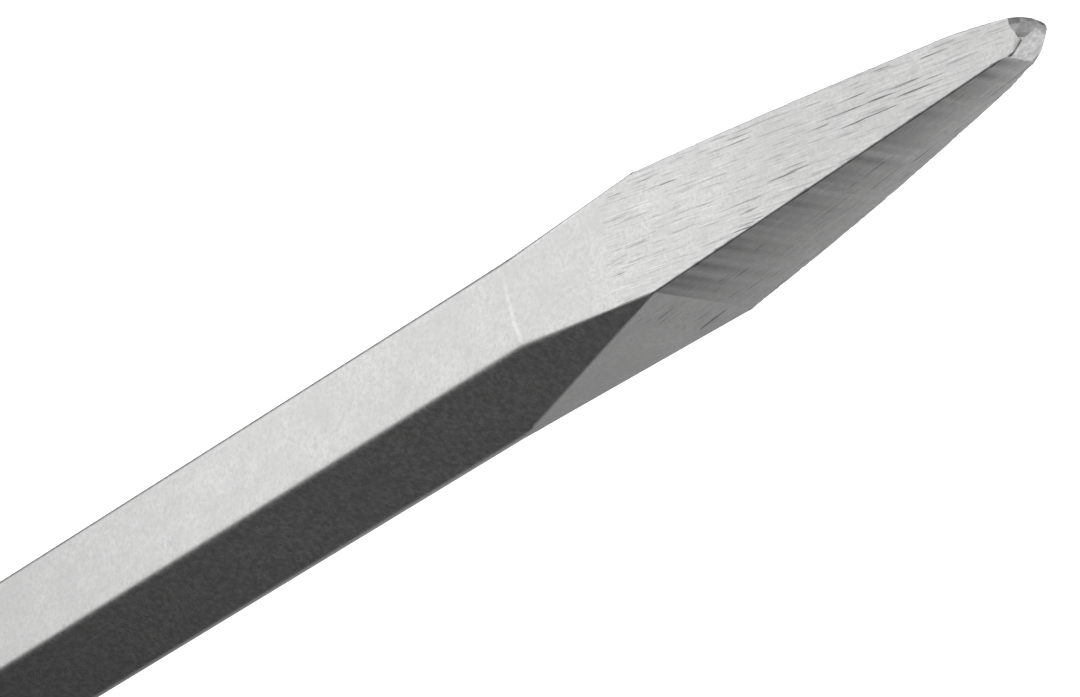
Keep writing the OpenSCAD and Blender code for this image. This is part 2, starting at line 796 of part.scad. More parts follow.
// One half of the handle, on the +Y side
module half_shell() {
    inner = handle_half_y - shell_wall;
    difference() {
        union() {
            difference() {
                in_xz(0, handle_half_y) handle_outline(0);
                in_xz(-through, inner) handle_outline(shell_wall);
            }
            for (p = post_points) along_y(p[0], p[1], 0, inner + through, 5);
            for (p = tongue_points) along_y(p[0], p[1], 8, inner + through, 5);
            along_y(trigger_x, trigger_z, 7.5, inner + through, 5.5);
        }
        box([tongue_back, -through, 205], [handle_front + through, 8, 267]);
        box([gap_rear - 4, -through, 217], [gap_rear + through, 7, 279]);
        along_y(trigger_x, trigger_z, 7, 11, 2.5 + fine);
        upright([gland_x, 0], handle_low - through, handle_low + 4, 8);
        for (p = concat(post_points, tongue_points)) along_y(p[0], p[1], -through, 12, 2);
    }
}
module handle_shell_left() {
    color("darkslategray") difference() {
        half_shell();
        along_y(button_x, button_z, 10, handle_half_y + through, 5 + fine);
    }
}
module handle_shell_right() {
    color("darkslategray") difference() {
        mirror([0, 1, 0]) half_shell();
        for (p = concat(post_points, tongue_points)) {
            along_y(p[0], p[1], -handle_half_y - through, 0, 2);
            along_y(p[0], p[1], -handle_half_y - through, 3 - handle_half_y, 3.6);
        }
    }
}
module handle_screws() {
    color("silver") for (p = concat(post_points, tongue_points)) difference() {
        union() {
            along_y(p[0], p[1], 3 - handle_half_y, 12, 2);
            along_y(p[0], p[1], -handle_half_y, 3 - handle_half_y, 3.6);
        }
        translate([p[0], 1.6 - handle_half_y, p[1]]) rotate([90, 0, 0])
            cylinder(r = 1.9, h = 3, $fn = 6);
    }
}
module handle_grip() {
    color("black") difference() {
        in_xz(-handle_half_y - 3, handle_half_y + 3)
            rounded(handle_rear - 3, handle_rear + 7, 200, 272, 3);
        box([handle_rear, -handle_half_y, 190], [handle_rear + 20, handle_half_y, 280]);
    }
}
module switch_body() {
    color("black") box([switch_x - 12, -8, 215], [switch_x, 8, 262]);
}
module cable_gland() {
    color("black") difference() {
        union() {
            upright([gland_x, 0], handle_low, handle_low + 3, 8);
            upright([gland_x, 0], handle_low + 3, handle_low + 8, 11);
            upright([gland_x, 0], handle_low - 6, handle_low, 12);
            translate([gland_x, 0, handle_low - 28]) cylinder(r1 = 7.5, r2 = 10, h = 22);
        }
        upright([gland_x, 0], handle_low - 29, handle_low + 9, 4.75);
    }
}
module trigger() {
    color("firebrick") {
        in_xz(-6.5, 6.5) hull() {
            translate([trigger_x, trigger_z]) circle(r = 6, $fn = 32);
            translate([gap_rear + 7, trigger_z - 2]) circle(r = 3, $fn = 32);
            translate([gap_rear + 10, trigger_z - 40]) circle(r = 4, $fn = 32);
            translate([trigger_x, trigger_z - 40]) circle(r = 3, $fn = 32);
        }
        along_y(trigger_x, trigger_z, -10.5, 10.5, 2.5);
    }
}
module trigger_spring() {
    color("silver") translate([switch_x, 0, 240]) rotate([0, 90, 0]) coil(3, 0.4, 6, 3);
}
module lock_button() {
    color("firebrick") {
        along_y(button_x, button_z, 12.5, handle_half_y + 3, 5);
        along_y(button_x, button_z, 12.5, handle_half_y - shell_wall - 0.5, 6.5);
    }
}

// Side handle: a band round the barrel with a stirrup that hangs from it
module leg_bend(side) {
    translate([seat_x, side * (side_half - bend_r), side_grip_r + bend_r])
        rotate([90, 0, 90]) rotate([0, 0, side > 0 ? -90 : 180])
            rotate_extrude(angle = 90) translate([bend_r, 0]) circle(r = rod_r);
}
module side_handle_bow() {
    color("dimgray") difference() {
        union() {
            along_x(seat_x - band_half, seat_x + band_half, band_r);
            box([seat_x - band_half, -16, screw_z - 12], [seat_x + band_half, 16, axis_z - 36]);
            for (side = [-1, 1]) {
                mirror([0, side < 0 ? 1 : 0, 0]) in_yz(seat_x - 10, seat_x + 10)
                    rounded(30, side_half + rod_r + 1.5, lug_low, lug_top, 6);
                translate([seat_x, side * side_half, side_grip_r + bend_r])
                    cylinder(r = rod_r, h = lug_top - 4 - side_grip_r - bend_r);
                leg_bend(side);
            }
            along_y(seat_x, side_grip_r, bend_r - side_half, side_half - bend_r, rod_r);
        }
        along_x(seat_x - band_half - through, seat_x + band_half + through, seat_r + fine);
        box([seat_x - 20, -2, screw_z - 13], [seat_x + 20, 2, axis_z - 30]);
        along_y(seat_x, screw_z, -17, 17, 4 + fine);
    }
}
module side_handle_grip() {
    color("black") difference() {
        union() {
            along_y(seat_x, side_grip_r, bend_r - side_half, side_half - bend_r, side_grip_r - 1.5);
            for (i = [-3:3]) along_y(seat_x, side_grip_r, 12 * i - 4, 12 * i + 4, side_grip_r);
        }
        along_y(seat_x, side_grip_r, -side_half, side_half, rod_r);
    }
}
module clamp_knob() {
    color("black") difference() {
        union() {
            along_y(seat_x, screw_z, -22, 17, 4);
            along_y(seat_x, screw_z, -22, -16.2, 7);
            along_y(seat_x, screw_z, 16.2, 24, 9);
            along_y(seat_x, screw_z, 24, 42, 16);
        }
        for (a = [0:45:315]) translate([seat_x + 17 * cos(a), 0, screw_z + 17 * sin(a)])
            rotate([90, 0, 0]) translate([0, 0, -43]) cylinder(r = 3, h = 20);
    }
}

crank_case();
gear_plate();
crank_case_cover();
cover_gasket();
cover_screws();
oil_cap();
oil_sight_glass();
barrel();
flange_bolts();
cylinder_liner();
impact_bolt_bushing();
rubber_damper();
tool_holder();
nose_cap();
retainer_detent();
motor_housing();
motor_end_cap();
motor_screws();
rubber_foot();
stator_core();
field_coils();
brush_holders();
carbon_brushes();
brush_springs();
brush_caps();
bearing_outer_races();
bearing_balls();
intermediate_bushes();
handle_shell_left();
handle_shell_right();
handle_grip();
handle_screws();
switch_body();
cable_gland();
armature_shaft();
armature_core();
armature_windings();
commutator();
cooling_fan();
armature_bearing_inners();
intermediate_shaft();
intermediate_gear();
crankshaft();
crank_gear();
crank_bearing_inners();
piston();
wrist_pin();
piston_ring();
connecting_rod();
crank_pin();
striker();
impact_bolt();
chisel();
retainer_lever();
side_handle_bow();
side_handle_grip();
clamp_knob();
trigger();
trigger_spring();
lock_button();
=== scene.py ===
"""An electric jackhammer with a hexagonal point chisel: its looks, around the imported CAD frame.

Everything is in metres in the row's frame: +X along the barrel to the chisel's tip, +Z up, the floor at
z = 0. Dimensions of small details are written in millimetres and multiplied by MM.
"""

import json
import math

import bmesh
import bpy
from mathutils import Matrix, Vector, noise
from mathutils.bvhtree import BVHTree
from mathutils.geometry import delaunay_2d_cdt

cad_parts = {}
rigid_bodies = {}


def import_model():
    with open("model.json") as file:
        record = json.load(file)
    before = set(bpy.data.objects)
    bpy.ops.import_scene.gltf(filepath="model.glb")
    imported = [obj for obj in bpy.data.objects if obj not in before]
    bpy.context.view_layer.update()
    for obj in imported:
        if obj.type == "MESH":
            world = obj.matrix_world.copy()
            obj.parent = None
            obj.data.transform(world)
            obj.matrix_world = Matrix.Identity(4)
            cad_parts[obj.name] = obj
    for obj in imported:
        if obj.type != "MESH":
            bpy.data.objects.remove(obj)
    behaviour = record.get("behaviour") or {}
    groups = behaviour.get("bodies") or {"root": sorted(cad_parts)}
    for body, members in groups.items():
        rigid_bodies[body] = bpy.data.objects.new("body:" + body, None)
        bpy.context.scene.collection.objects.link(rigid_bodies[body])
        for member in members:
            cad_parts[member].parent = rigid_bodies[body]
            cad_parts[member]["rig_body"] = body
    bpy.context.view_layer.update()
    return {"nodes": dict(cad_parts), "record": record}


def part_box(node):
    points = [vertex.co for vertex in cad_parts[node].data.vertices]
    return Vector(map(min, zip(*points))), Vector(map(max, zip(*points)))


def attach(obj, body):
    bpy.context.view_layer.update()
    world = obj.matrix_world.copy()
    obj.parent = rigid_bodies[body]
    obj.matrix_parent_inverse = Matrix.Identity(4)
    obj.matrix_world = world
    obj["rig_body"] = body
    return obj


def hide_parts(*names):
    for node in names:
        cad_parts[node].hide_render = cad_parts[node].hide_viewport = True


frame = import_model()

MM = 0.001
NODES = frame["nodes"]


# ---------------------------------------------------------------- places that the frame gives
def middle(node):
    low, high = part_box(node)
    return (low + high) / 2


TIP = Vector((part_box("chisel")[1].x, 0, middle("chisel").z))
AXIS_Z = TIP.z


# ---------------------------------------------------------------- camera, floor and light
IMAGE_WIDTH = 1080
FOCAL_PIXELS = 7759.6
# The camera's turn, roll and lift in degrees, and where the tip lies from it in metres
VIEW_ANGLES = (43.0228, 31.7209, 120.2944)
TIP_RIGHT, TIP_UP, TIP_AWAY = 0.0841219, 0.0543668, 1.29585
SENSOR = 36.0


def make_camera():
    """A long lens that looks down on the chisel's point from its right, level with neither."""
    turn, roll, lift = map(math.radians, VIEW_ANGLES)
    along = Vector((1, 0, 0))
    away = Vector((0, math.cos(lift), math.sin(lift)))
    across = Vector((0, math.sin(lift), -math.cos(lift)))
    flat = math.cos(turn) * along - math.sin(turn) * away
    right = math.cos(roll) * flat - math.sin(roll) * across
    up = math.sin(roll) * flat + math.cos(roll) * across
    back = math.sin(turn) * along + math.cos(turn) * away
    place = TIP - TIP_RIGHT * right - TIP_UP * up + TIP_AWAY * back
    data = bpy.data.cameras.new("camera")
    data.sensor_width = SENSOR
    data.lens = FOCAL_PIXELS * SENSOR / IMAGE_WIDTH
    camera = bpy.data.objects.new("camera", data)
    bpy.context.scene.collection.objects.link(camera)
    turned = Matrix((right, up, back)).transposed().to_4x4()
    camera.matrix_world = Matrix.Translation(place) @ turned
    bpy.context.scene.camera = camera


def soft_lobe(nodes, links, direction, towards, inner, outer):
    """1 inside the angle inner round the direction towards, falling softly to 0 at outer."""
    dot = nodes.new("ShaderNodeVectorMath")
    dot.operation = "DOT_PRODUCT"
    links.new(direction, dot.inputs[0])
    dot.inputs[1].default_value = Vector(towards).normalized()
    fall = nodes.new("ShaderNodeMapRange")
    fall.interpolation_type = "SMOOTHSTEP"
    fall.inputs["From Min"].default_value = math.cos(math.radians(outer))
    fall.inputs["From Max"].default_value = math.cos(math.radians(inner))
    links.new(dot.outputs["Value"], fall.inputs["Value"])
    return fall.outputs["Result"]


# Soft lights at a distance: direction, strength, angle of the full part and of the edge
SOFT_LIGHTS = [
    ((-0.62, 0.40, 0.68), 1.21, 24, 46),
    ((0.72, -0.52, 0.46), 1.10, 14, 38),
    ((0.15, 0.75, 0.65), 0.70, 16, 40),
    ((-0.25, -0.35, 0.90), 0.55, 10, 34),
    ((-0.45, 0.85, 0.26), 0.60, 8, 26),
    ((0.25, -0.93, 0.30), 0.65, 8, 26),
]
DIM_SKY = 0.07
FLOOR_GLOW = 0.90
# How reflections see the floor: lit spots (place, reach, strength) on a dark ground
LIT_SPOTS = [((0.46, -0.10, 0.0), 0.90, 0.33), ((0.84, -0.36, 0.0), 0.52, 0.70)]
FLOOR_FAR = 0.050


def make_world():
    """White behind the object, with a dim room and soft lights round it."""
    world = bpy.data.worlds.new("studio")
    bpy.context.scene.world = world
    world.use_nodes = True
    nodes, links = world.node_tree.nodes, world.node_tree.links
    nodes.clear()
    place = nodes.new("ShaderNodeTexCoord")
    total = None
    for towards, strength, inner, outer in SOFT_LIGHTS:
        lobe = soft_lobe(nodes, links, place.outputs["Generated"], towards, inner, outer)
        scaled = nodes.new("ShaderNodeMath")
        scaled.operation = "MULTIPLY_ADD"
        scaled.inputs[1].default_value = strength
        scaled.inputs[2].default_value = DIM_SKY
        links.new(lobe, scaled.inputs[0])
        if total is not None:
            links.new(total, scaled.inputs[2])
        total = scaled.outputs[0]
    room = nodes.new("ShaderNodeBackground")
    links.new(total, room.inputs["Color"])
    behind = nodes.new("ShaderNodeBackground")
    behind.inputs["Color"].default_value = (1, 1, 1, 1)
    seen = nodes.new("ShaderNodeLightPath")
    mix = nodes.new("ShaderNodeMixShader")
    links.new(seen.outputs["Is Camera Ray"], mix.inputs[0])
    links.new(room.outputs[0], mix.inputs[1])
    links.new(behind.outputs[0], mix.inputs[2])
    out = nodes.new("ShaderNodeOutputWorld")
    links.new(mix.outputs[0], out.inputs["Surface"])


def make_floor():
    """A pale floor that takes soft shadows; reflections see it as grey, and dark far off."""
    mesh = bpy.data.meshes.new("floor")
    half = 60.0
    corners = [(-half, -half, 0), (half, -half, 0), (half, half, 0), (-half, half, 0)]
    mesh.from_pydata(corners, [], [(0, 1, 2, 3)])
    floor = bpy.data.objects.new("floor", mesh)
    bpy.context.scene.collection.objects.link(floor)
    material = bpy.data.materials.new("floor")
    material.use_nodes = True
    nodes, links = material.node_tree.nodes, material.node_tree.links
    nodes.clear()
    matt = nodes.new("ShaderNodeBsdfDiffuse")
    matt.inputs["Color"].default_value = (0.8, 0.8, 0.8, 1)
    glow = nodes.new("ShaderNodeEmission")
    glow.inputs["Strength"].default_value = FLOOR_GLOW
    bright = nodes.new("ShaderNodeAddShader")
    links.new(matt.outputs[0], bright.inputs[0])
    links.new(glow.outputs[0], bright.inputs[1])
    grey = nodes.new("ShaderNodeEmission")
    place = nodes.new("ShaderNodeTexCoord")
    total = None
    for spot, reach, strength in LIT_SPOTS:
        apart = nodes.new("ShaderNodeVectorMath")
        apart.operation = "DISTANCE"
        links.new(place.outputs["Object"], apart.inputs[0])
        apart.inputs[1].default_value = spot
        fade = nodes.new("ShaderNodeMapRange")
        fade.interpolation_type = "SMOOTHSTEP"
        fade.inputs["From Min"].default_value = 0.2 * reach
        fade.inputs["From Max"].default_value = reach
        fade.inputs["To Min"].default_value = strength
        fade.inputs["To Max"].default_value = 0.0
        links.new(apart.outputs["Value"], fade.inputs["Value"])
        both = nodes.new("ShaderNodeMath")
        both.inputs[1].default_value = FLOOR_FAR
        links.new(fade.outputs["Result"], both.inputs[0])
        if total is not None:
            links.new(total, both.inputs[1])
        total = both.outputs[0]
    links.new(total, grey.inputs["Strength"])
    seen = nodes.new("ShaderNodeLightPath")
    mix = nodes.new("ShaderNodeMixShader")
    links.new(seen.outputs["Is Camera Ray"], mix.inputs[0])
    links.new(grey.outputs[0], mix.inputs[1])
    links.new(bright.outputs[0], mix.inputs[2])
    out = nodes.new("ShaderNodeOutputMaterial")
    links.new(mix.outputs[0], out.inputs["Surface"])
    mesh.materials.append(material)


# ---------------------------------------------------------------- materials
class Finish:
    """A procedural material, built in the object's own coordinates (metres in the row's frame)."""

    def __init__(self, name, metallic=0.0, colour=(0.5, 0.5, 0.5), roughness=0.5):
        self.material = bpy.data.materials.new(name)
        self.material.use_nodes = True
        self.nodes = self.material.node_tree.nodes
        self.links = self.material.node_tree.links
        self.shader = self.nodes["Principled BSDF"]
        self.set("Metallic", metallic)
        self.set("Base Color", (*colour, 1))
        self.set("Roughness", roughness)
        self.place = self.nodes.new("ShaderNodeTexCoord").outputs["Object"]

    def set(self, socket, value):
        self.shader.inputs[socket].default_value = value

    def feed(self, socket, output):
        self.links.new(output, self.shader.inputs[socket])

    def math(self, operation, a, b=None, c=None):
        """A Math node; a, b and c are outputs or numbers."""
        node = self.nodes.new("ShaderNodeMath")
        node.operation = operation
        for socket, value in zip(node.inputs, (a, b, c)):
            if isinstance(value, (int, float)):
                socket.default_value = value
            elif value is not None:
                self.links.new(value, socket)
        return node.outputs[0]

    def range(self, value, low, high, out_low=0.0, out_high=1.0, smooth=True):
        node = self.nodes.new("ShaderNodeMapRange")
        node.interpolation_type = "SMOOTHSTEP" if smooth else "LINEAR"
        node.inputs["From Min"].default_value = low
        node.inputs["From Max"].default_value = high
        node.inputs["To Min"].default_value = out_low
        node.inputs["To Max"].default_value = out_high
        self.links.new(value, node.inputs["Value"])
        return node.outputs["Result"]

    def stretched(self, longer, turn=0.0):
        """Coordinates in which a pattern is so many times longer along X, Y and Z, turned about Z.

        A pattern that is many times longer along a face's normal runs unbroken over that face.
        """
        node = self.nodes.new("ShaderNodeMapping")
        node.vector_type = "TEXTURE"
        node.inputs["Rotation"].default_value = (0, 0, math.radians(turn))
        node.inputs["Scale"].default_value = longer
        self.links.new(self.place, node.inputs["Vector"])
        return node.outputs["Vector"]

    def noise(self, size_mm, detail=2.0, rough=0.5, where=None, twist=0.0):
        """Noise whose blobs are about size_mm across, from 0 to 1."""
        node = self.nodes.new("ShaderNodeTexNoise")
        node.inputs["Scale"].default_value = 1 / (size_mm * MM)
        node.inputs["Detail"].default_value = detail
        node.inputs["Roughness"].default_value = rough
        node.inputs["Distortion"].default_value = twist
        self.links.new(where or self.place, node.inputs["Vector"])
        return node.outputs["Fac"]

    def part(self, axis):
        """The coordinate along X, Y or Z."""
        node = self.nodes.new("ShaderNodeSeparateXYZ")
        self.links.new(self.place, node.inputs[0])
        return node.outputs[axis]

    def facing(self, axis):
        """The surface's own normal along X, Y or Z at rest, from the mesh and not from the view."""
        node = self.nodes.new("ShaderNodeTexCoord")
        apart = self.nodes.new("ShaderNodeSeparateXYZ")
        self.links.new(node.outputs["Normal"], apart.inputs[0])
        return apart.outputs[axis]

    def mixed(self, factor, a, b):
        """Colour a where factor is 0 and colour b where it is 1; each is a colour or an output."""
        node = self.nodes.new("ShaderNodeMix")
        node.data_type = "RGBA"
        self.links.new(factor, node.inputs["Factor"])
        for socket, value in ((node.inputs[6], a), (node.inputs[7], b)):
            if isinstance(value, tuple):
                socket.default_value = (*value, 1)
            else:
                self.links.new(value, socket)
        return node.outputs[2]

    def edges(self, radius_mm):
        """1 on worn outer edges and corners, 0 on the flat."""
        soft = self.nodes.new("ShaderNodeBevel")
        soft.samples = 4
        soft.inputs["Radius"].default_value = radius_mm * MM
        plain = self.nodes.new("ShaderNodeNewGeometry")
        dot = self.nodes.new("ShaderNodeVectorMath")
        dot.operation = "DOT_PRODUCT"
        self.links.new(soft.outputs[0], dot.inputs[0])
        self.links.new(plain.outputs["Normal"], dot.inputs[1])
        return self.range(dot.outputs["Value"], 0.995, 0.90)

    def bump(self, height, depth_mm, strength=1.0):
        """Adds relief, on top of any that is there."""
        node = self.nodes.new("ShaderNodeBump")
        node.inputs["Distance"].default_value = depth_mm * MM
        node.inputs["Strength"].default_value = strength
        self.links.new(height, node.inputs["Height"])
        before = self.shader.inputs["Normal"]
        if before.is_linked:
            self.links.new(before.links[0].from_socket, node.inputs["Normal"])
        self.links.new(node.outputs[0], before)


def moulded(name, colour, roughness=0.52, grain_mm=0.9, grain_depth=0.05, wear=0.35):
    """Textured glass-filled nylon, a little polished and pale where hands and floors rub it."""
    f = Finish(name, colour=colour, roughness=roughness)
    worn = f.math("MULTIPLY", f.edges(1.4), f.range(f.noise(7, 3), 0.38, 0.62))
    cloud = f.noise(38, 4, 0.6)
    dark = tuple(0.86 * c for c in colour)
    light = tuple(1.16 * c + 0.004 for c in colour)
    pale = tuple(1.3 * c + 0.05 * wear for c in colour)
    f.feed("Base Color", f.mixed(worn, f.mixed(cloud, dark, light), pale))
    f.feed("Roughness", f.range(f.noise(16, 3), 0.3, 0.7, roughness - 0.07, roughness + 0.08))
    f.bump(f.noise(grain_mm, 2.5, 0.6), grain_depth)
    return f.material


def rubber():
    f = Finish("rubber", colour=(0.022, 0.022, 0.023), roughness=0.7)
    dust = f.math("MULTIPLY", f.range(f.noise(11, 5, 0.65), 0.45, 0.75), 0.6)
    rubbed = f.math("MAXIMUM", dust, f.math("MULTIPLY", f.edges(1.2), 0.55))
    f.feed("Base Color", f.mixed(rubbed, (0.020, 0.020, 0.021), (0.052, 0.051, 0.049)))
    f.feed("Roughness", f.range(f.noise(9, 3), 0.3, 0.7, 0.60, 0.78))
    f.bump(f.noise(0.7, 2, 0.6), 0.06)
    return f.material


def painted(name, colour, roughness=0.42, bare=(0.42, 0.42, 0.43), chip=0.5):
    """Powder coat with an orange-peel skin, worn through to bare metal on a few edges."""
    f = Finish(name, colour=colour, roughness=roughness)
    chips = f.math("MULTIPLY", f.edges(1.1), f.range(f.noise(3.2, 4, 0.7), chip, chip + 0.07))
    cloud = f.noise(45, 4, 0.6)
    dark = tuple(0.84 * c for c in colour)
    light = tuple(1.18 * c + 0.003 for c in colour)
    f.feed("Base Color", f.mixed(chips, f.mixed(cloud, dark, light), bare))
    f.feed("Metallic", chips)
    f.feed("Roughness", f.range(f.noise(13, 4), 0.3, 0.7, roughness - 0.06, roughness + 0.10))
    f.bump(f.noise(1.5, 1.5, 0.5), 0.07)
    return f.material


def cast_alloy():
    """Bead-blasted cast alloy: a fine matt grain with faint stains."""
    f = Finish("barrel_alloy", metallic=1.0, colour=(0.60, 0.61, 0.62), roughness=0.46)
    stain = f.range(f.noise(26, 5, 0.65), 0.42, 0.72)
    rubbed = f.math("MULTIPLY", f.edges(1.0), 0.8)
    body = f.mixed(stain, (0.60, 0.61, 0.62), (0.46, 0.465, 0.47))
    f.feed("Base Color", f.mixed(rubbed, body, (0.74, 0.75, 0.76)))
    f.feed("Roughness", f.range(f.noise(6, 4), 0.3, 0.7, 0.40, 0.54))
    f.bump(f.noise(0.55, 2, 0.7), 0.035)
    return f.material


def turned_steel(name, colour, roughness, streak=(1, 14, 14), depth=0.01, cloud_mm=12):
    """Turned or ground metal, with fine marks that run along one axis."""
    f = Finish(name, metallic=1.0, colour=colour, roughness=roughness)
    marks = f.noise(2.2, 3, 0.7, f.stretched(streak))
    cloud = f.noise(cloud_mm, 3)
    dull = tuple(0.80 * c for c in colour)
    f.feed("Base Color", f.mixed(f.range(cloud, 0.35, 0.7), colour, dull))
    f.feed("Roughness", f.range(marks, 0.3, 0.7, roughness - 0.06, roughness + 0.08))
    f.bump(marks, depth)
    return f.material


def phosphated():
    """Dark forged and phosphated steel, brighter where the surface rubs."""
    f = Finish("holder_steel", metallic=1.0, colour=(0.24, 0.24, 0.25), roughness=0.45)
    rubbed = f.math("MULTIPLY", f.edges(1.2), f.range(f.noise(4, 3), 0.35, 0.65))
    speck = f.noise(1.6, 4, 0.7)
    body = f.mixed(f.range(speck, 0.35, 0.65), (0.19, 0.19, 0.20), (0.27, 0.27, 0.275))
    f.feed("Base Color", f.mixed(rubbed, body, (0.52, 0.52, 0.52)))
    f.feed("Roughness", f.range(f.noise(8, 4), 0.3, 0.7, 0.38, 0.54))
    f.bump(speck, 0.02)
    return f.material


def laminated():
    """Stacked electrical steel, one sheet to about every half millimetre."""
    f = Finish("lamination", metallic=0.8, colour=(0.22, 0.22, 0.23), roughness=0.5)
    sheets = f.math("SINE", f.math("MULTIPLY", f.part("Z"), 2 * math.pi / (0.9 * MM)))
    f.feed("Base Color", f.mixed(f.noise(5, 3), (0.19, 0.19, 0.20), (0.27, 0.26, 0.25)))
    f.bump(sheets, 0.05)
    return f.material


def wound_copper():
    f = Finish("copper", metallic=0.9, colour=(0.60, 0.28, 0.13), roughness=0.32)
    strands = f.noise(1.2, 2, 0.5, f.stretched((1, 1, 8)))
    f.feed("Base Color", f.mixed(strands, (0.50, 0.20, 0.09), (0.68, 0.34, 0.17)))
    f.bump(strands, 0.15)
    return f.material


def plain_soft(name, colour, roughness, size_mm, depth):
    f = Finish(name, colour=colour, roughness=roughness)
    grain = f.noise(size_mm, 4, 0.65)
    f.feed("Base Color", f.mixed(grain, tuple(0.8 * c for c in colour), tuple(1.25 * c for c in colour)))
    f.bump(grain, depth)
    return f.material


def glass():
    f = Finish("sight_glass", colour=(0.82, 0.72, 0.40), roughness=0.06)
    f.set("Transmission Weight", 0.55)
    f.set("IOR", 1.47)
    f.feed("Base Color", f.mixed(f.noise(14, 2), (0.80, 0.70, 0.36), (0.86, 0.78, 0.50)))
    f.bump(f.noise(6, 1), 0.02)
    return f.material


# ---------------------------------------------------------------- the chisel's steel
RING_BACK = 125.4
GROUND_BACK = 101.0


def grinding_marks(f, longer, turn):
    """Two sizes of long fine scratches over a face of the point, turned about Z. 0 is deepest."""
    fine = f.noise(0.31, 2, 0.6, f.stretched(longer, turn))
    coarse = f.noise(0.50, 1.5, 0.5, f.stretched(longer, turn + 1.0))
    return fine, coarse


def chosen(f, factor, a, b):
    """Number a where factor is 1 and number b where it is 0."""
    return f.math("ADD", f.math("MULTIPLY", a, factor),
                  f.math("MULTIPLY", b, f.math("SUBTRACT", 1.0, factor)))


def crease_highlight(f, back, top):
    """A painted highlight along the crease that the forging die left across the top flat."""
    across = f.math("MULTIPLY", f.part("Y"), 1 / MM)
    inward = f.math("DIVIDE", f.math("SUBTRACT", 7.4, across), 14.6)
    bend = f.math("POWER", f.math("MAXIMUM", inward, 0.0), 3.0)
    curve = f.math("SUBTRACT", RING_BACK + 1.1, f.math("MULTIPLY", bend, 1.6))
    apart = f.math("ABSOLUTE", f.math("SUBTRACT", back, curve))
    line = f.range(apart, 0.10, 0.75, 0.40, 0.0)
    broken = f.math("MULTIPLY", f.range(f.noise(2.0, 2), 0.35, 0.65, 0.3, 1.0), f.range(across, 7, 1))
    return f.math("MULTIPLY", f.math("MULTIPLY", line, top), broken)


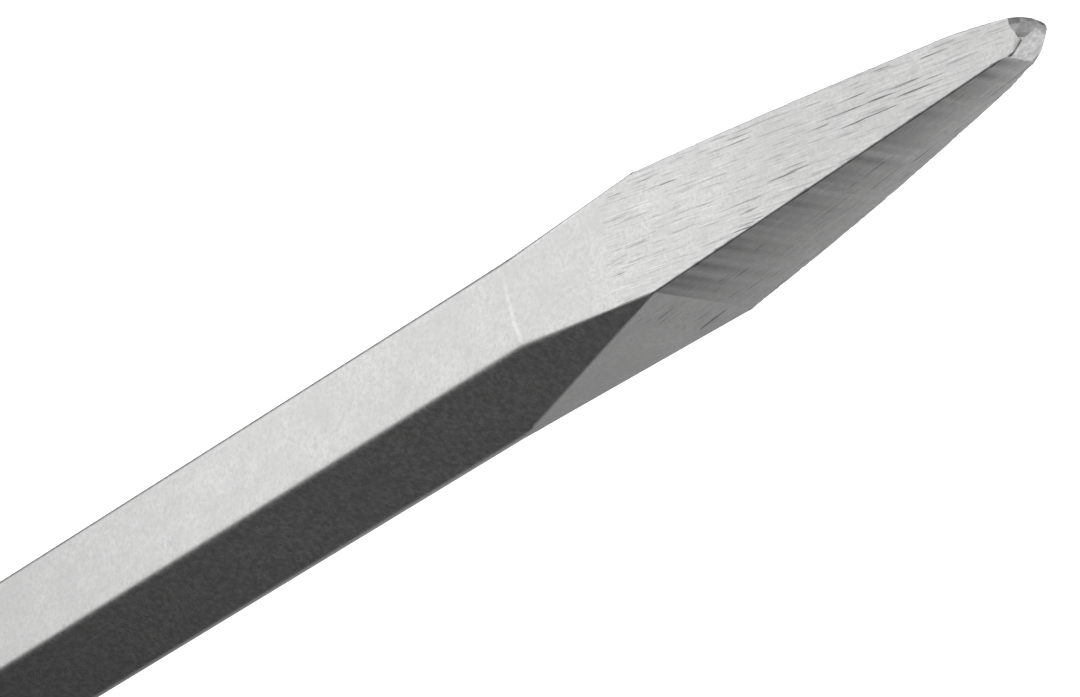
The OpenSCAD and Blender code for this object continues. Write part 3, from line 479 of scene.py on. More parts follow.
def chisel_steel():
    """Bare tool steel: shot-blasted bar and flats, and coarse grinding marks on the point; with painted
    shade below the top edge and in the crack, and painted highlights on the forging crease and the near
    struck face.
    """
    f = Finish("chisel_steel", metallic=1.0, colour=(0.66, 0.66, 0.655), roughness=0.40)
    back = f.math("MULTIPLY", f.math("SUBTRACT", TIP.x, f.part("X")), 1 / MM)
    top = f.range(f.facing("Z"), 0.80, 0.93)
    side = f.range(f.math("ABSOLUTE", f.facing("Y")), 0.93, 0.97)
    flats = f.math("MAXIMUM", f.math("ABSOLUTE", f.facing("Z")), f.math("ABSOLUTE", f.facing("Y")))
    ground_faces = f.range(flats, 0.93, 0.97)
    ragged = f.math("MULTIPLY", f.math("SUBTRACT", f.noise(1.3, 3, 0.7, f.stretched((3, 1, 1))), 0.5), 9)
    start = f.math("ADD", back, ragged)
    ground = f.math("MULTIPLY", f.range(start, GROUND_BACK + 1.2, GROUND_BACK - 0.6), ground_faces)
    top_fine, top_coarse = grinding_marks(f, (26, 1, 40), -7.5)
    side_fine, side_coarse = grinding_marks(f, (26, 40, 1), 0.0)
    fine = chosen(f, top, top_fine, side_fine)
    coarse = chosen(f, top, top_coarse, side_coarse)
    patch = f.range(f.noise(9, 2, 0.5, f.stretched((2.5, 1, 1))), 0.36, 0.62, 0.25, 1.0)
    deep = f.math("MULTIPLY", f.range(coarse, 0.31, 0.37, 1.0, 0.0), patch)
    shallow = f.range(fine, 0.30, 0.44, 0.40, 0.0)
    # Painted shade: the side is darkened just below its edge with the top, its border made ragged by the
    # coarse grinding noise
    half_slope = SQUARE_HALF / (APEX_AHEAD + SQUARE_BACK)
    half = f.math("MULTIPLY", f.math("ADD", back, APEX_AHEAD), half_slope)
    height = f.math("MULTIPLY", f.math("SUBTRACT", f.part("Z"), AXIS_Z), 1 / MM)
    share = f.math("ADD", f.math("DIVIDE", height, half), f.math("MULTIPLY", side_coarse, 0.7))
    shaded = f.math("MULTIPLY", f.range(share, 1.02, 1.50, 0.0, 0.62), f.range(back, 96, 80))
    shaded = f.math("MULTIPLY", shaded, side)
    # marks holds the grinding scratches and the painted shade below the top edge
    marks = f.math("MAXIMUM", f.math("MAXIMUM", deep, shallow), shaded)
    scored_and_shaded = f.math("MULTIPLY", marks, ground)
    polished = f.math("MULTIPLY", f.range(fine, 0.58, 0.70), f.math("MULTIPLY", ground, 0.45))
    grit = f.noise(0.7, 3, 0.75)
    cloud = f.noise(8, 5, 0.65)
    body = f.mixed(f.range(cloud, 0.3, 0.7), (0.56, 0.56, 0.557), (0.63, 0.63, 0.626))
    sandy = f.mixed(f.range(grit, 0.38, 0.66), body, (0.53, 0.53, 0.527))
    # Painted light: the near struck face of the point, the one facing +X and −Y, is lightened and mottled by
    # its pitting
    lit_struck_face = f.math("MULTIPLY", f.range(f.facing("X"), 0.20, 0.34), f.range(f.facing("Y"), -0.35, -0.55))
    pitted = f.range(f.noise(1.4, 3, 0.7), 0.35, 0.65)
    lit_and_pitted = f.mixed(pitted, (0.56, 0.56, 0.557), (0.76, 0.76, 0.755))
    sandy_and_lit = f.mixed(lit_struck_face, sandy, lit_and_pitted)
    # bright holds the polished grinding streaks and the painted highlight on the forging crease
    bright = f.math("MAXIMUM", polished, crease_highlight(f, back, top))
    shown = f.mixed(bright, sandy_and_lit, (0.84, 0.84, 0.835))
    # Duller towards the shank, where oil has dried on, and towards the tip, where the grinder bit
    dull = f.math("MAXIMUM", f.range(back, 190, 330, 0.0, 0.30),
                  f.math("MULTIPLY", f.range(back, 88, 40, 0.0, 0.17), top))
    toned = f.mixed(dull, shown, (0.20, 0.20, 0.20))
    # Painted shade read from the mesh: the crack in the point and a strip below the edge between the top and
    # the near side
    painted_shade = f.nodes.new("ShaderNodeAttribute")
    painted_shade.attribute_name = "painted_shade"
    # The grinding scratches and all the painted shade darken the colour together
    dark = f.math("MAXIMUM", f.math("MULTIPLY", scored_and_shaded, 0.86), painted_shade.outputs["Fac"])
    f.feed("Base Color", f.mixed(dark, toned, (0.10, 0.10, 0.10)))
    f.feed("Roughness", f.range(f.noise(1.1, 3, 0.7), 0.3, 0.7, 0.33, 0.45))
    f.bump(grit, 0.010)
    f.bump(f.math("MULTIPLY", coarse, ground), 0.05)
    return f.material


# ---------------------------------------------------------------- mesh helpers
def new_object(name, bm, material, body, smooth_angle=32):
    """A finished piece: shaded smooth up to an angle, riding on a body."""
    bmesh.ops.recalc_face_normals(bm, faces=bm.faces)
    mesh = bpy.data.meshes.new(name)
    bm.to_mesh(mesh)
    bm.free()
    mesh.shade_smooth()
    mesh.set_sharp_from_angle(angle=math.radians(smooth_angle))
    piece = bpy.data.objects.new(name, mesh)
    bpy.context.scene.collection.objects.link(piece)
    mesh.materials.append(material)
    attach(piece, body)
    return piece


def loft(bm, rings, close_first=True, close_last=True):
    """Joins closed rings of points, in order, with quads. Returns the rings' vertices."""
    made = [[bm.verts.new(p) for p in ring] for ring in rings]
    count = len(made[0])
    for a, b in zip(made, made[1:]):
        for i in range(count):
            j = (i + 1) % count
            bm.faces.new((a[i], a[j], b[j], b[i]))
    if close_first:
        bm.faces.new(made[0])
    if close_last:
        bm.faces.new(made[-1][::-1])
    return made


def settled(piece):
    """Applies the piece's modifiers."""
    bpy.context.view_layer.update()
    shape = piece.evaluated_get(bpy.context.evaluated_depsgraph_get())
    mesh = bpy.data.meshes.new_from_object(shape)
    piece.modifiers.clear()
    piece.data = mesh


def even_shading(piece):
    """Lets the large faces set the shading, so that flats stay flat between their rounded edges."""
    modifier = piece.modifiers.new("even", "WEIGHTED_NORMAL")
    modifier.keep_sharp = True


SHARP_ANGLE = math.radians(28)
# The widest that a rounding may be, as a share of the faces beside it
FACE_SHARE = 0.42
# How far a rounded corner may be from the sharp one, as a share of its radius
CORNER_SHARE = 0.45


def cut_flats(bm):
    """Cut every many-sided face into triangles that never fold over each other."""
    many_sided = [f for f in bm.faces if len(f.verts) > 4]
    for face in many_sided:
        flat = face.normal.to_track_quat("Z", "Y").to_matrix().inverted()
        corners = list(face.verts)
        spots = [flat @ v.co for v in corners]
        outline = list(range(len(spots)))
        found = delaunay_2d_cdt([spot.to_2d() for spot in spots], [], [outline], 1, 1e-9)
        points, triangles, sources = found[0], found[2], found[3]
        verts = []
        for point, source in zip(points, sources):
            if source:
                verts.append(corners[source[0]])
            else:
                verts.append(bm.verts.new(flat.inverted() @ Vector((point.x, point.y, spots[0].z))))
        for triangle in triangles:
            trio = [verts[i] for i in triangle]
            if len(set(trio)) == 3 and not bm.faces.get(trio):
                bm.faces.new(trio)
    bmesh.ops.delete(bm, geom=many_sided, context="FACES_ONLY")


def refined(node, radius_mm=0.8, segments=2):
    """A copy of a CAD part with its sharp edges rounded, in the part's place."""
    bm = bmesh.new()
    bm.from_mesh(NODES[node].data)
    bmesh.ops.remove_doubles(bm, verts=bm.verts, dist=0.004 * MM)
    bmesh.ops.dissolve_limit(bm, angle_limit=math.radians(0.6), verts=bm.verts, edges=bm.edges)
    radius = radius_mm * MM
    wide = {f.index: 2 * f.calc_area() / max(f.calc_perimeter(), 1e-9) for f in bm.faces}
    weight = bm.edges.layers.float.new("bevel_weight_edge")
    for edge in bm.edges:
        if len(edge.link_faces) == 2 and edge.calc_face_angle() > SHARP_ANGLE:
            room = FACE_SHARE * min(wide[f.index] for f in edge.link_faces)
            edge[weight] = min(1.0, room / radius)
    sharp = BVHTree.FromBMesh(bm)
    body, slot = NODES[node]["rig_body"], SLOT_OF[node]
    piece = new_object(node + "_skin", bm, MATERIALS[slot], body)
    rounding = piece.modifiers.new("round", "BEVEL")
    rounding.width = radius
    rounding.segments = segments
    rounding.limit_method = "WEIGHT"
    rounding.use_clamp_overlap = False
    rounding.miter_outer = "MITER_ARC"
    settled(piece)
    # A point that a shallow corner threw off the part goes back to it
    for vertex in piece.data.vertices:
        nearest, _, _, apart = sharp.find_nearest(vertex.co)
        if apart > CORNER_SHARE * radius:
            vertex.co = nearest
    bm = bmesh.new()
    bm.from_mesh(piece.data)
    cut_flats(bm)
    bm.to_mesh(piece.data)
    bm.free()
    piece.data.shade_smooth()
    piece.data.set_sharp_from_angle(angle=math.radians(38))
    even_shading(piece)
    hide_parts(node)
    return piece


# ---------------------------------------------------------------- the chisel
HEX_HALF = 14.3
HEX_CORNER = 2 * HEX_HALF / math.sqrt(3)
HEX_TOP_Y = HEX_CORNER / 2
SIDE_BACK = 145.2
SQUARE_BACK = 91.9
SQUARE_HALF = 11.5
APEX_AHEAD = 38.7
BAR_LENGTH = 508.0
NIB_BACK = 8.0
FLAT_END = 1.1
ARC_STEPS = 5


def point_half(back):
    """Half the width of the square point, at a distance behind its tip."""
    return SQUARE_HALF * (APEX_AHEAD + back) / (APEX_AHEAD + SQUARE_BACK)


def swell(back, first, last, height):
    """A shallow hump between two stations."""
    t = (back - first) / (last - first)
    return height * math.sin(math.pi * t) if 0 < t < 1 else 0.0


def drawn_in(back, start, depth, reach, power):
    """How far an edge has come in ahead of a station, where the end was struck blunt."""
    return depth * (max(0.0, start - back) / reach) ** power


def quarter(back, side, top):
    """The two corners of one quarter of the section: (top corner, side corner), in Y and Z."""
    if back >= SIDE_BACK:
        return (side * HEX_TOP_Y, top * HEX_HALF), (side * HEX_CORNER, 0.0)
    if back >= SQUARE_BACK:
        t = (back - SQUARE_BACK) / (SIDE_BACK - SQUARE_BACK)
        side_y = SQUARE_HALF + t * (HEX_CORNER - SQUARE_HALF)
        side_z = SQUARE_HALF * (1 - t)
        u = min(1.0, (back - SQUARE_BACK) / (RING_BACK - SQUARE_BACK))
        top_y = SQUARE_HALF + u * (HEX_TOP_Y - SQUARE_HALF)
        top_z = SQUARE_HALF + u * (HEX_HALF - SQUARE_HALF)
        return (side * top_y, top * top_z), (side * side_y, top * side_z)
    half = point_half(back)
    y, z = half, half
    if side > 0:
        y += swell(back, 24, SQUARE_BACK, 0.3) - drawn_in(back, 20, 1.25, 15, 1.5)
    if top < 0:
        z += swell(back, 14, SQUARE_BACK, 1.0) - drawn_in(back, 14.5, 1.1, 7.5, 1.2)
    return (side * y, top * z), (side * y, top * z)


def fillet(corner, before, after, cut, first, last):
    """Points of a rounded corner, from its share first to its share last."""
    corner, before, after = Vector(corner), Vector(before), Vector(after)
    into = (corner - before).normalized() * cut
    out = (after - corner).normalized() * cut
    a, b = corner - into, corner + out
    points = []
    for k in range(ARC_STEPS):
        t = first + (last - first) * k / (ARC_STEPS - 1)
        points.append((1 - t) ** 2 * a + 2 * t * (1 - t) * corner + t * t * b)
    return points


def edge_cut(back):
    """How far back from each edge the rounding starts: wide on the bar, narrow on the ground point."""
    if back >= RING_BACK:
        return 1.25
    t = max(0.0, (back - SQUARE_BACK) / (RING_BACK - SQUARE_BACK))
    return 0.34 + 0.9 * t ** 1.5


def section(back, worn):
    """One closed section of the chisel, clockwise from the top face, in Y and Z."""
    cut = edge_cut(back)
    ring = []
    quarters = [(1, 1), (1, -1), (-1, -1), (-1, 1)]
    for side, top in quarters:
        upper, lower = quarter(back, side, top)
        level = (0.0, upper[1])
        if back < SQUARE_BACK:
            down = (lower[0], 0.0)
            chip = cut * (1 + worn(back, side, top))
            arc_a = fillet(upper, level, down, chip, 0.0, 0.5)
            arc_b = fillet(upper, level, down, chip, 0.5, 1.0)
        elif abs(lower[1]) > FLAT_END:
            arc_a = fillet(upper, level, lower, cut, 0.0, 1.0)
            arc_b = fillet(lower, upper, (lower[0], -lower[1]), min(0.5, cut), 0.0, 1.0)
        elif back < SIDE_BACK:
            point = (lower[0] + (lower[0] - upper[0]) * lower[1] / (upper[1] - lower[1]), 0.0)
            arc_a = fillet(upper, level, point, cut, 0.0, 1.0)
            arc_b = fillet(point, upper, (upper[0], -upper[1]), cut, 0.0, 0.5)
            arc_b = [Vector((side * min(abs(p.x), abs(lower[0])), p.y)) for p in arc_b]
        else:
            arc_a = fillet(upper, level, lower, cut, 0.0, 1.0)
            arc_b = fillet(lower, upper, (upper[0], -upper[1]), cut, 0.0, 0.5)
        points = arc_a + arc_b
        ring += points if top > 0 and side > 0 or top < 0 and side < 0 else points[::-1]
    return ring


def chisel_place(back, y, z):
    return Vector((TIP.x - back * MM, y * MM, AXIS_Z + z * MM))


def chips(back, side, top):
    """How much more of an edge is gone at a station: small nicks."""
    n = noise.noise(Vector((back / 1.1, 7.3 * side, 3.1 * top)))
    m = noise.noise(Vector((back / 4.7, 2.3 * side, 5.9 * top)))
    return max(0.0, 1.7 * n + 0.9 * m - 0.1)


# Corners of the chisel's struck end: distance behind the tip, Y and Z
NIB = {
    # the end of the top flat, from the far side round to the near edge
    "top_far": (4.3, 2.33, 3.79), "top_crease": (4.34, 1.1, 3.79), "top_a": (4.0, 0.2, 3.76),
    "top_b": (3.4, -0.8, 3.71), "top_c": (3.1, -1.75, 3.68), "top_d": (2.65, -2.3, 3.64),
    # its lip over the crack
    "lip_a": (2.95, -2.75, 3.67), "lip_b": (3.9, -3.4, 3.75), "lip_c": (4.9, -3.85, 3.84),
    "lip_d": (6.3, -4.05, 3.88),
    # the bottom of the crack and its lower side
    "bed_a": (2.9, -2.35, 3.0), "bed_b": (3.9, -2.95, 2.95), "bed_c": (4.9, -3.45, 2.95),
    "bed_d": (5.9, -3.8, 3.25),
    "out_a": (3.05, -2.3, 2.8), "out_b": (4.05, -2.85, 2.72), "out_c": (4.95, -3.3, 2.7),
    "out_d": (5.7, -3.93, 2.9), "out_e": (6.5, -3.98, 3.25),
    # the ridge between the two struck faces, down to the tip
    "ridge_a": (2.75, -2.2, 3.12), "ridge_b": (2.3, -2.0, 2.8), "ridge_c": (1.5, -1.35, 2.0),
    "ridge_d": (0.75, -0.65, 1.1), "ridge_e": (0.25, -0.35, 0.5), "tip": (0.0, 0.0, -0.05),
    # the near struck face: its lower edge and its rim
    "face_a": (5.75, -3.7, 1.9), "face_b": (6.2, -3.97, 1.2), "face_c": (6.35, -4.02, -0.25),
    "face_d": (6.15, -3.97, -1.85), "face_e": (5.6, -3.8, -2.5),
    "rim_a": (0.05, -0.4, -0.55), "rim_b": (0.4, -0.84, -0.9), "rim_c": (1.7, -1.55, -1.55),
    "rim_d": (3.15, -2.3, -2.2), "rim_e": (4.2, -2.9, -2.55), "heel": (6.93, -4.02, -2.94),
    # the fold across the upper struck face, and that face's far edge
    "fold_a": (2.9, 1.03, 2.51), "fold_b": (1.9, 0.94, 1.54), "fold_c": (1.0, 0.8, 0.7),
    "far_a": (2.6, 1.95, 2.55), "far_b": (1.45, 1.42, 1.15), "far_c": (0.9, 0.9, 0.72),
    "under": (2.0, 1.5, -1.6), "under_back": (7.0, 3.2, -2.9),
}
# How dark the painted shade in the crack is
CRACK_SHADE = {"bed_a": 1.0, "bed_b": 1.0, "bed_c": 0.9, "bed_d": 1.0, "lip_a": 0.7, "lip_b": 0.5}


def add_nib(bm, ring):
    """The blunt end: irregular facets between the last section and the tip."""
    v = {name: bm.verts.new(chisel_place(*place)) for name, place in NIB.items()}
    layer = bm.verts.layers.float["painted_shade"]
    n = 2 * ARC_STEPS
    far, far_low, near_low, near = (ring[i * n:(i + 1) * n] for i in range(4))

    def face(*corners):
        return bm.faces.new([v[c] if isinstance(c, str) else c for c in corners])

    def fan(apex, arc):
        for a, b in zip(arc, arc[1:]):
            face(apex, a, b)

    def strip(first, second):
        """Triangles between two lines of named corners."""
        for a, b, c, d in zip(first, first[1:], second, second[1:]):
            face(a, b, d)
            face(a, d, c)

    fan("top_far", far)
    fan("under_back", far_low)
    fan("heel", near_low)
    fan("lip_d", near)
    face(near[-1], far[0], "top_far", "top_crease", "top_a", "top_b", "top_c", "top_d", "lip_a",
         "lip_b", "lip_c", "lip_d")
    face(near_low[-1], near[0], "lip_d", "out_e", "out_d", "out_c", "face_a", "face_b", "face_c",
         "face_d", "face_e", "heel")
    face(far_low[-1], near_low[0], "heel", "under_back")
    face(far[-1], far_low[0], "under_back", "under", "tip", "far_c", "far_b", "far_a", "top_far")
    face("top_far", "far_a", "far_b", "far_c", "fold_c", "fold_b", "fold_a", "top_crease")
    face("far_c", "tip", "fold_c")
    face("top_crease", "fold_a", "fold_b", "fold_c", "tip", "ridge_e", "ridge_d", "ridge_c", "ridge_b",
         "ridge_a", "top_d", "top_c", "top_b", "top_a")
    face("ridge_a", "out_a", "bed_a", "top_d")
    face("top_d", "bed_a", "lip_a")
    strip(["lip_a", "lip_b", "lip_c", "lip_d"], ["bed_a", "bed_b", "bed_c", "bed_d"])
    strip(["bed_a", "bed_b", "bed_c", "bed_d"], ["out_a", "out_b", "out_c", "out_d"])
    face("lip_d", "bed_d", "out_e")
    face("bed_d", "out_d", "out_e")
    face("ridge_a", "ridge_b", "ridge_c", "ridge_d", "ridge_e", "tip", "rim_a", "rim_b", "rim_c",
         "rim_d", "rim_e", "face_e", "face_d", "face_c", "face_b", "face_a", "out_c", "out_b", "out_a")
    face("tip", "under", "under_back", "heel", "face_e", "rim_e", "rim_d", "rim_c", "rim_b", "rim_a")
    for name, amount in CRACK_SHADE.items():
        v[name][layer] = amount


def stations():
    """Distances behind the tip of the chisel's sections, close together where the shape changes."""
    places, back = [], NIB_BACK
    while back < SQUARE_BACK - 0.5:
        places.append(back)
        back += 0.8
    places.append(SQUARE_BACK - 0.02)
    back = SQUARE_BACK + 0.6
    while back < SIDE_BACK - 0.8:
        if abs(back - RING_BACK) > 0.7:
            places.append(back)
        back += 1.3
    places += [RING_BACK, SIDE_BACK - 0.3, SIDE_BACK + 0.3]
    places += [SIDE_BACK + 8 + 12 * k for k in range(30)]
    places.append(BAR_LENGTH - 2.5)
    return sorted(places)


def make_chisel(material):
    bm = bmesh.new()
    layer = bm.verts.layers.float.new("painted_shade")
    places = stations()
    rings = [[chisel_place(back, p.x, p.y) for p in section(back, chips)] for back in places]
    last = section(BAR_LENGTH, chips)
    rings.append([chisel_place(BAR_LENGTH, 0.87 * p.x, 0.87 * p.y) for p in last])
    made = loft(bm, rings, close_first=False)
    # Painted shade sits just below the edge between the top and the near side
    near = 3 * 2 * ARC_STEPS
    for back, ring in zip(places, made):
        if back < SQUARE_BACK:
            for k in range(ARC_STEPS + 1):
                ring[near + k][layer] = 0.55 + 0.5 * noise.noise(Vector((back / 2.3, 4.0, k)))
    add_nib(bm, made[0])
    bmesh.ops.remove_doubles(bm, verts=bm.verts, dist=0.012 * MM)
    bmesh.ops.triangulate(bm, faces=[f for f in bm.faces if len(f.verts) > 4])
    piece = new_object("chisel_bar", bm, material, "chisel", 18)
    for polygon in piece.data.polygons:
        polygon.use_smooth = polygon.center.x < TIP.x - NIB_BACK * MM
    cut_notch(piece)
    even_shading(piece)
    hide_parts("chisel")
    return piece


def cut_notch(piece):
    """The retainer's notch in the underside of the shank, with the CAD's own length and depth."""
    low_x, high_x, top = 0.275, 0.309, AXIS_Z - 8 * MM
    carve(piece, [cutter_box((low_x, -25 * MM, top - 30 * MM), (high_x, 25 * MM, top))])


def cut_with(piece, cutter):
    """Takes the cutter out of the piece and removes the cutter."""
    modifier = piece.modifiers.new("cut", "BOOLEAN")
    modifier.operation = "DIFFERENCE"
    modifier.solver = "EXACT"
    modifier.object = cutter
    settled(piece)
    bpy.data.objects.remove(cutter)


# ---------------------------------------------------------------- the rear handle
HANDLE_LOW, HANDLE_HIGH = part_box("handle_shell_left")
HANDLE_HALF = HANDLE_HIGH.y
HANDLE_WALL = 3.4 * MM
OUTER_BEND = 26 * MM
GAP_BEND = 16 * MM
# The finger gap's own box, in X and Z
GAP_BACK, GAP_FRONT, GAP_LOW, GAP_TOP = (v * MM for v in (-200, -152, 184, 288))
BEND_STEPS = 9
SIDE_STEPS = 6
CORNER_STEPS = 6
SCREW_PLACES = [(-143, 170), (-143, 302), (-190, 169), (-190, 303), (-224, 192), (-224, 282),
                (-141, 218), (-141, 254)]


def rounded_outline(left, right, low, high, bend):
    """A rounded rectangle in X and Z, anticlockwise, with the same steps whatever its size."""
    centres = [(right - bend, high - bend), (left + bend, high - bend),
               (left + bend, low + bend), (right - bend, low + bend)]
    arcs = []
    for k, (x, z) in enumerate(centres):
        turns = [math.pi / 2 * (k + i / BEND_STEPS) for i in range(BEND_STEPS + 1)]
        arcs.append([Vector((x + bend * math.cos(t), z + bend * math.sin(t))) for t in turns])
    points = []
    for arc, after in zip(arcs, arcs[1:] + arcs[:1]):
        points += arc
        points += [arc[-1].lerp(after[0], i / SIDE_STEPS) for i in range(1, SIDE_STEPS)]
    return points


def handle_round(x, front, rear):
    """The radius of an edge of the handle: small at the crank case, full where the hand closes."""
    t = min(1.0, max(0.0, (HANDLE_HIGH.x - 3 * MM - x) / (42 * MM)))
    return (front + (rear - front) * t * t * (3 - 2 * t)) * MM


def bent(centre, radius, first, last):
    """Points of an arc in the section's own plane, from one direction to another, in degrees."""
    turns = [math.radians(first + (last - first) * i / CORNER_STEPS) for i in range(CORNER_STEPS + 1)]
    return [(centre[0] + radius * math.cos(t), centre[1] + radius * math.sin(t)) for t in turns]


def half_section(width, outer, inner):
    """The C of one half shell: across the handle from its outside, and out from its parting face."""
    wall, high = HANDLE_WALL, HANDLE_HALF
    skin = [(0.0, 0.0)] + bent((outer, high - outer), outer, 180, 90)
    skin += bent((width - inner, high - inner), inner, 90, 0) + [(width, 0.0)]
    back = [(width - wall, 0.0), (width - wall, high - wall - 1 * MM), (width - wall - 2 * MM, high - wall)]
    return skin + back + [(wall + 2 * MM, high - wall), (wall, high - wall - 1 * MM), (wall, 0.0)]


def cutter_box(low, high):
    bm = bmesh.new()
    bmesh.ops.create_cube(bm, size=1)
    low, high = Vector(low), Vector(high)
    grown = Matrix.Translation((low + high) / 2) @ Matrix.Diagonal((*(high - low), 1))
    bmesh.ops.transform(bm, matrix=grown, verts=bm.verts)
    return bm


def cutter_round(start, end, radius):
    bm = bmesh.new()
    start, end = Vector(start), Vector(end)
    bmesh.ops.create_cone(bm, cap_ends=True, segments=40, radius1=radius, radius2=radius,
                          depth=(end - start).length)
    turn = (end - start).to_track_quat("Z", "Y").to_matrix().to_4x4()
    bmesh.ops.transform(bm, matrix=Matrix.Translation((start + end) / 2) @ turn, verts=bm.verts)
    return bm


def carve(piece, cutters):
    """Takes each cutter out of the piece."""
    for bm in cutters:
        mesh = bpy.data.meshes.new("cutter")
        bm.to_mesh(mesh)
        bm.free()
        cutter = bpy.data.objects.new("cutter", mesh)
        bpy.context.scene.collection.objects.link(cutter)
        cut_with(piece, cutter)


def make_handle():
    """Two moulded half shells that meet on the handle's middle plane."""
    outside = rounded_outline(HANDLE_LOW.x, HANDLE_HIGH.x, HANDLE_LOW.z, HANDLE_HIGH.z, OUTER_BEND)
    inside = rounded_outline(GAP_BACK, GAP_FRONT, GAP_LOW, GAP_TOP, GAP_BEND)
    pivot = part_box("lock_button")
    button = (pivot[0] + pivot[1]) / 2
    gland = middle("cable_gland")
    for node, side in (("handle_shell_left", 1), ("handle_shell_right", -1)):
        bm = bmesh.new()
        rings = []
        for far, near in zip(outside, inside):
            along = near - far
            outer, inner = handle_round(far.x, 1.6, 9.5), handle_round(near.x, 4.5, 9.0)
            places = [(far + along.normalized() * u, side * y)
                      for u, y in half_section(along.length, outer, inner)]
            rings.append([Vector((flat.x, y, flat.y)) for flat, y in places])
        loft(bm, rings + rings[:1], close_first=False, close_last=False)
        bmesh.ops.remove_doubles(bm, verts=bm.verts, dist=0.01 * MM)
        piece = new_object(node + "_moulding", bm, MATERIALS["handle_plastic"], "root")
        slot_half, slot_low, slot_high = 7 * MM, 0.217, 0.279
        tongue_half, tongue_low, tongue_high = 8.2 * MM, 0.2048, 0.2672
        cutters = [
            cutter_box((GAP_BACK - 5 * MM, -slot_half, slot_low), (GAP_BACK + 2 * MM, slot_half, slot_high)),
            cutter_box((HANDLE_HIGH.x - 5 * MM, -tongue_half, tongue_low),
                       (HANDLE_HIGH.x + 2 * MM, tongue_half, tongue_high)),
            cutter_round((gland.x, 0, HANDLE_LOW.z - 2 * MM), (gland.x, 0, HANDLE_LOW.z + 5 * MM),
                         8.2 * MM),
        ]
        if side > 0:
            start, end = (button.x, 10 * MM, button.z), (button.x, 30 * MM, button.z)
            cutters.append(cutter_round(start, end, 5.3 * MM))
        else:
            depth = HANDLE_HALF - 3 * MM
            for x, z in SCREW_PLACES:
                cutters.append(cutter_round((x * MM, -depth, z * MM), (x * MM, -30 * MM, z * MM), 3.6 * MM))
        carve(piece, cutters)
        piece.data.set_sharp_from_angle(angle=math.radians(32))
        even_shading(piece)
        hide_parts(node)


def make_handle_grip():
    """A rubber cover on the back of the handle, with ribs across it."""
    low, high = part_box("handle_grip")
    bm = bmesh.new()
    rings = []
    count = 73
    for k in range(count):
        t = k / (count - 1)
        z = low.z + t * (high.z - low.z)
        end = min(k, count - 1 - k)
        rise = 1.0 if end > 3 else math.sin(math.pi / 2 * (0.25 + end / 4))
        groove = 0.0 if end < 5 or (k % 6) not in (0, 1) else 0.9 * MM
        proud = 3 * MM * rise - groove
        rear, half = HANDLE_LOW.x - proud, HANDLE_HALF + proud
        bend = 9.5 * MM + proud
        skin = [(high.x, -half)] + bent((rear + bend, -half + bend), bend, -90, -180)
        skin += bent((rear + bend, half - bend), bend, 180, 90) + [(high.x, half)]
        snug = 9.5 * MM
        back = [(high.x, HANDLE_HALF)] + bent((HANDLE_LOW.x + snug, HANDLE_HALF - snug), snug, 90, 180)
        back += bent((HANDLE_LOW.x + snug, -HANDLE_HALF + snug), snug, -180, -90)
        back += [(high.x, -HANDLE_HALF)]
        rings.append([Vector((x, y, z)) for x, y in skin + back])
    loft(bm, rings)
    piece = new_object("handle_grip_cover", bm, MATERIALS["rubber"], "root", 40)
    even_shading(piece)
    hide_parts("handle_grip")


# ---------------------------------------------------------------- trigger and retainer
def arc_of(centre, radius, first, last, steps=10):
    """Points of an arc in X and Z, in millimetres, from one direction to another, in degrees."""
    turns = [math.radians(first + (last - first) * i / steps) for i in range(steps + 1)]
    return [Vector((centre[0] + radius * math.cos(t), centre[1] + radius * math.sin(t))) for t in turns]


def inset(outline, amount):
    """A convex anticlockwise outline moved inward along its own normals."""
    moved = []
    for before, here, after in zip(outline[-1:] + outline[:-1], outline, outline[1:] + outline[:1]):
        along = (after - before).normalized()
        moved.append(here + amount * Vector((-along.y, along.x)))
    return moved


def add_pillow(bm, outline, low_y, high_y, radius):
    """A convex outline in X and Z given thickness along Y, with both of its rims rounded."""
    turns = [math.pi / 2 * step / CORNER_STEPS for step in range(CORNER_STEPS + 1)]
    rim_low = [(low_y + radius * (1 - math.sin(t)), radius * (1 - math.cos(t))) for t in turns]
    rings = sorted(set(rim_low + [(low_y + high_y - y, cut) for y, cut in rim_low]))
    loft(bm, [[Vector((p.x, y, p.y)) * MM for p in inset(outline, cut)] for y, cut in rings])


def add_rod(bm, centre, low_y, high_y, radius, rim):
    add_pillow(bm, arc_of(centre, radius, 0, 352.5, 47), low_y, high_y, rim)


# Axes along Y, in X and Z in millimetres: the trigger's pin and the retainer
PIVOT = (-207, 268)
RETAINER = (300, 233.7)


def make_trigger():
    """The rocker of the trigger, hollowed for the finger, and its pin."""
    x, z = PIVOT
    nose = GAP_BACK / MM + 10
    outline = arc_of((x, z), 6, 60, 180) + arc_of((x, z - 40), 3, 180, 270)
    outline += arc_of((nose, z - 40), 4, -90, 10)
    low, high = outline[-1], Vector((nose, z - 2))
    hollow = 1.6
    outline += [low.lerp(high, i / 10) - Vector((hollow * math.sin(math.pi * i / 10), 0))
                for i in range(1, 10)]
    outline += arc_of((nose - 3, z - 2), 3, 0, 60)
    bm = bmesh.new()
    add_pillow(bm, outline, -6.5, 6.5, 2.4)
    add_rod(bm, PIVOT, -10.5, 10.5, 2.5, 0.4)
    piece = new_object("trigger_rocker", bm, MATERIALS["accent_plastic"], "trigger", 40)
    even_shading(piece)
    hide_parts("trigger")


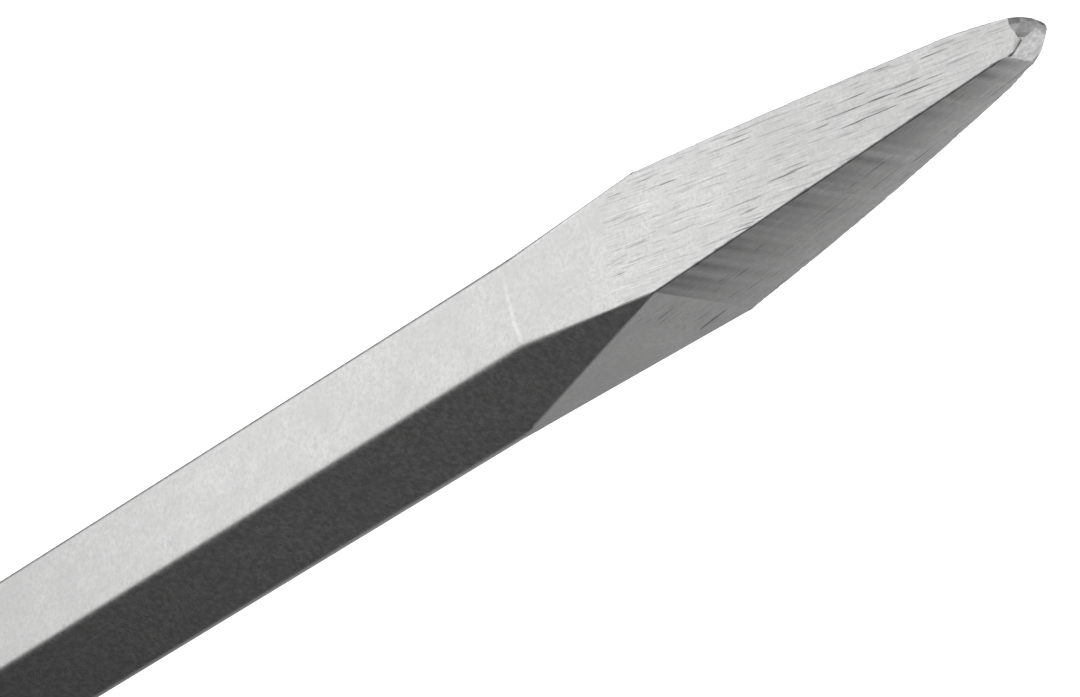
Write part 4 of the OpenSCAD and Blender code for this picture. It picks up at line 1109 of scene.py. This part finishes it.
def make_retainer():
    """The cross pin that holds the chisel, flattened in its middle, with its head and its lever."""
    x, z = RETAINER
    arm = 56
    bm = bmesh.new()
    add_rod(bm, (x, z), 37, 47, 12, 1.8)
    slim = arc_of((x - arm, z), 7, 90, 270, 16) + arc_of((x, z), 8.6, -90, 90, 16)
    add_pillow(bm, slim, 38, 46, 1.8)
    add_rod(bm, (x, z), -41, -37, 11, 1.0)
    full = arc_of((x, z), 8, 0, 352.5, 47)
    flat = [Vector((p.x, max(p.y, z - 1.5))) for p in full]
    lengths = [(-37, full), (-20, full), (-20, flat), (20, flat), (20, full), (38, full)]
    loft(bm, [[Vector((p.x, y, p.y)) * MM for p in outline] for y, outline in lengths])
    piece = new_object("retainer_arm", bm, MATERIALS["accent_paint"], "retainer", 40)
    even_shading(piece)
    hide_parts("retainer_lever")


# ---------------------------------------------------------------- assembly
make_camera()
make_world()
make_floor()

MATERIALS = {
    "chisel_steel": chisel_steel(),
    "case_paint": painted("case_paint", (0.105, 0.110, 0.116)),
    "barrel_alloy": cast_alloy(),
    "holder_steel": phosphated(),
    "machined_alloy": turned_steel("machined_alloy", (0.70, 0.71, 0.72), 0.32, (1, 6, 6)),
    "machined_steel": turned_steel("machined_steel", (0.60, 0.60, 0.60), 0.24),
    "screw_steel": turned_steel("screw_steel", (0.66, 0.66, 0.65), 0.30, (3, 3, 3), 0.008, 3),
    "black_steel": painted("black_steel", (0.030, 0.030, 0.032), 0.38),
    "motor_plastic": moulded("motor_plastic", (0.058, 0.061, 0.065)),
    "handle_plastic": moulded("handle_plastic", (0.050, 0.052, 0.055)),
    "black_plastic": moulded("black_plastic", (0.026, 0.026, 0.027), 0.48, 0.6, 0.03),
    "accent_plastic": moulded("accent_plastic", (0.50, 0.105, 0.020), 0.42, 0.6, 0.02, 0.8),
    "accent_paint": painted("accent_paint", (0.47, 0.095, 0.020), 0.36, chip=0.52),
    "rubber": rubber(),
    "gasket": plain_soft("gasket", (0.06, 0.06, 0.055), 0.8, 1.2, 0.05),
    "bronze": turned_steel("bronze", (0.62, 0.45, 0.24), 0.34, (2, 2, 2), 0.02, 4),
    "copper": wound_copper(),
    "carbon": plain_soft("carbon", (0.02, 0.02, 0.02), 0.55, 0.8, 0.02),
    "lamination": laminated(),
    "sight_glass": glass(),
}

SLOT_OF = {part["node"]: part["material_slot"] for part in frame["record"]["subparts"]}
for node, slot in SLOT_OF.items():
    cad_mesh = NODES[node].data
    cad_mesh.materials.clear()
    cad_mesh.materials.append(MATERIALS[slot])

make_chisel(MATERIALS["chisel_steel"])

# Visible parts keep their CAD shape and get rounded edges: node, radius in millimetres, segments
ROUNDED = [
    ("crank_case", 1.6, 3), ("crank_case_cover", 1.6, 3), ("cover_gasket", 0.3, 1), ("cover_screws", 0.5, 2),
    ("oil_cap", 0.8, 2), ("barrel", 1.0, 2), ("flange_bolts", 0.6, 2), ("tool_holder", 0.7, 2),
    ("nose_cap", 0.8, 2), ("retainer_detent", 0.5, 2), ("motor_housing", 1.3, 3),
    ("motor_end_cap", 2.0, 3), ("motor_screws", 0.5, 2), ("rubber_foot", 1.2, 2), ("brush_caps", 0.5, 2),
    ("handle_screws", 0.4, 2), ("cable_gland", 1.0, 2),
    ("side_handle_bow", 0.7, 2), ("side_handle_grip", 1.4, 3), ("clamp_knob", 1.2, 3),
    ("lock_button", 0.9, 3),
]
for node, radius, segments in ROUNDED:
    refined(node, radius, segments)


make_handle()
make_handle_grip()
make_trigger()
make_retainer()

bpy.context.scene.view_settings.view_transform = "Standard"
bpy.context.view_layer.update()
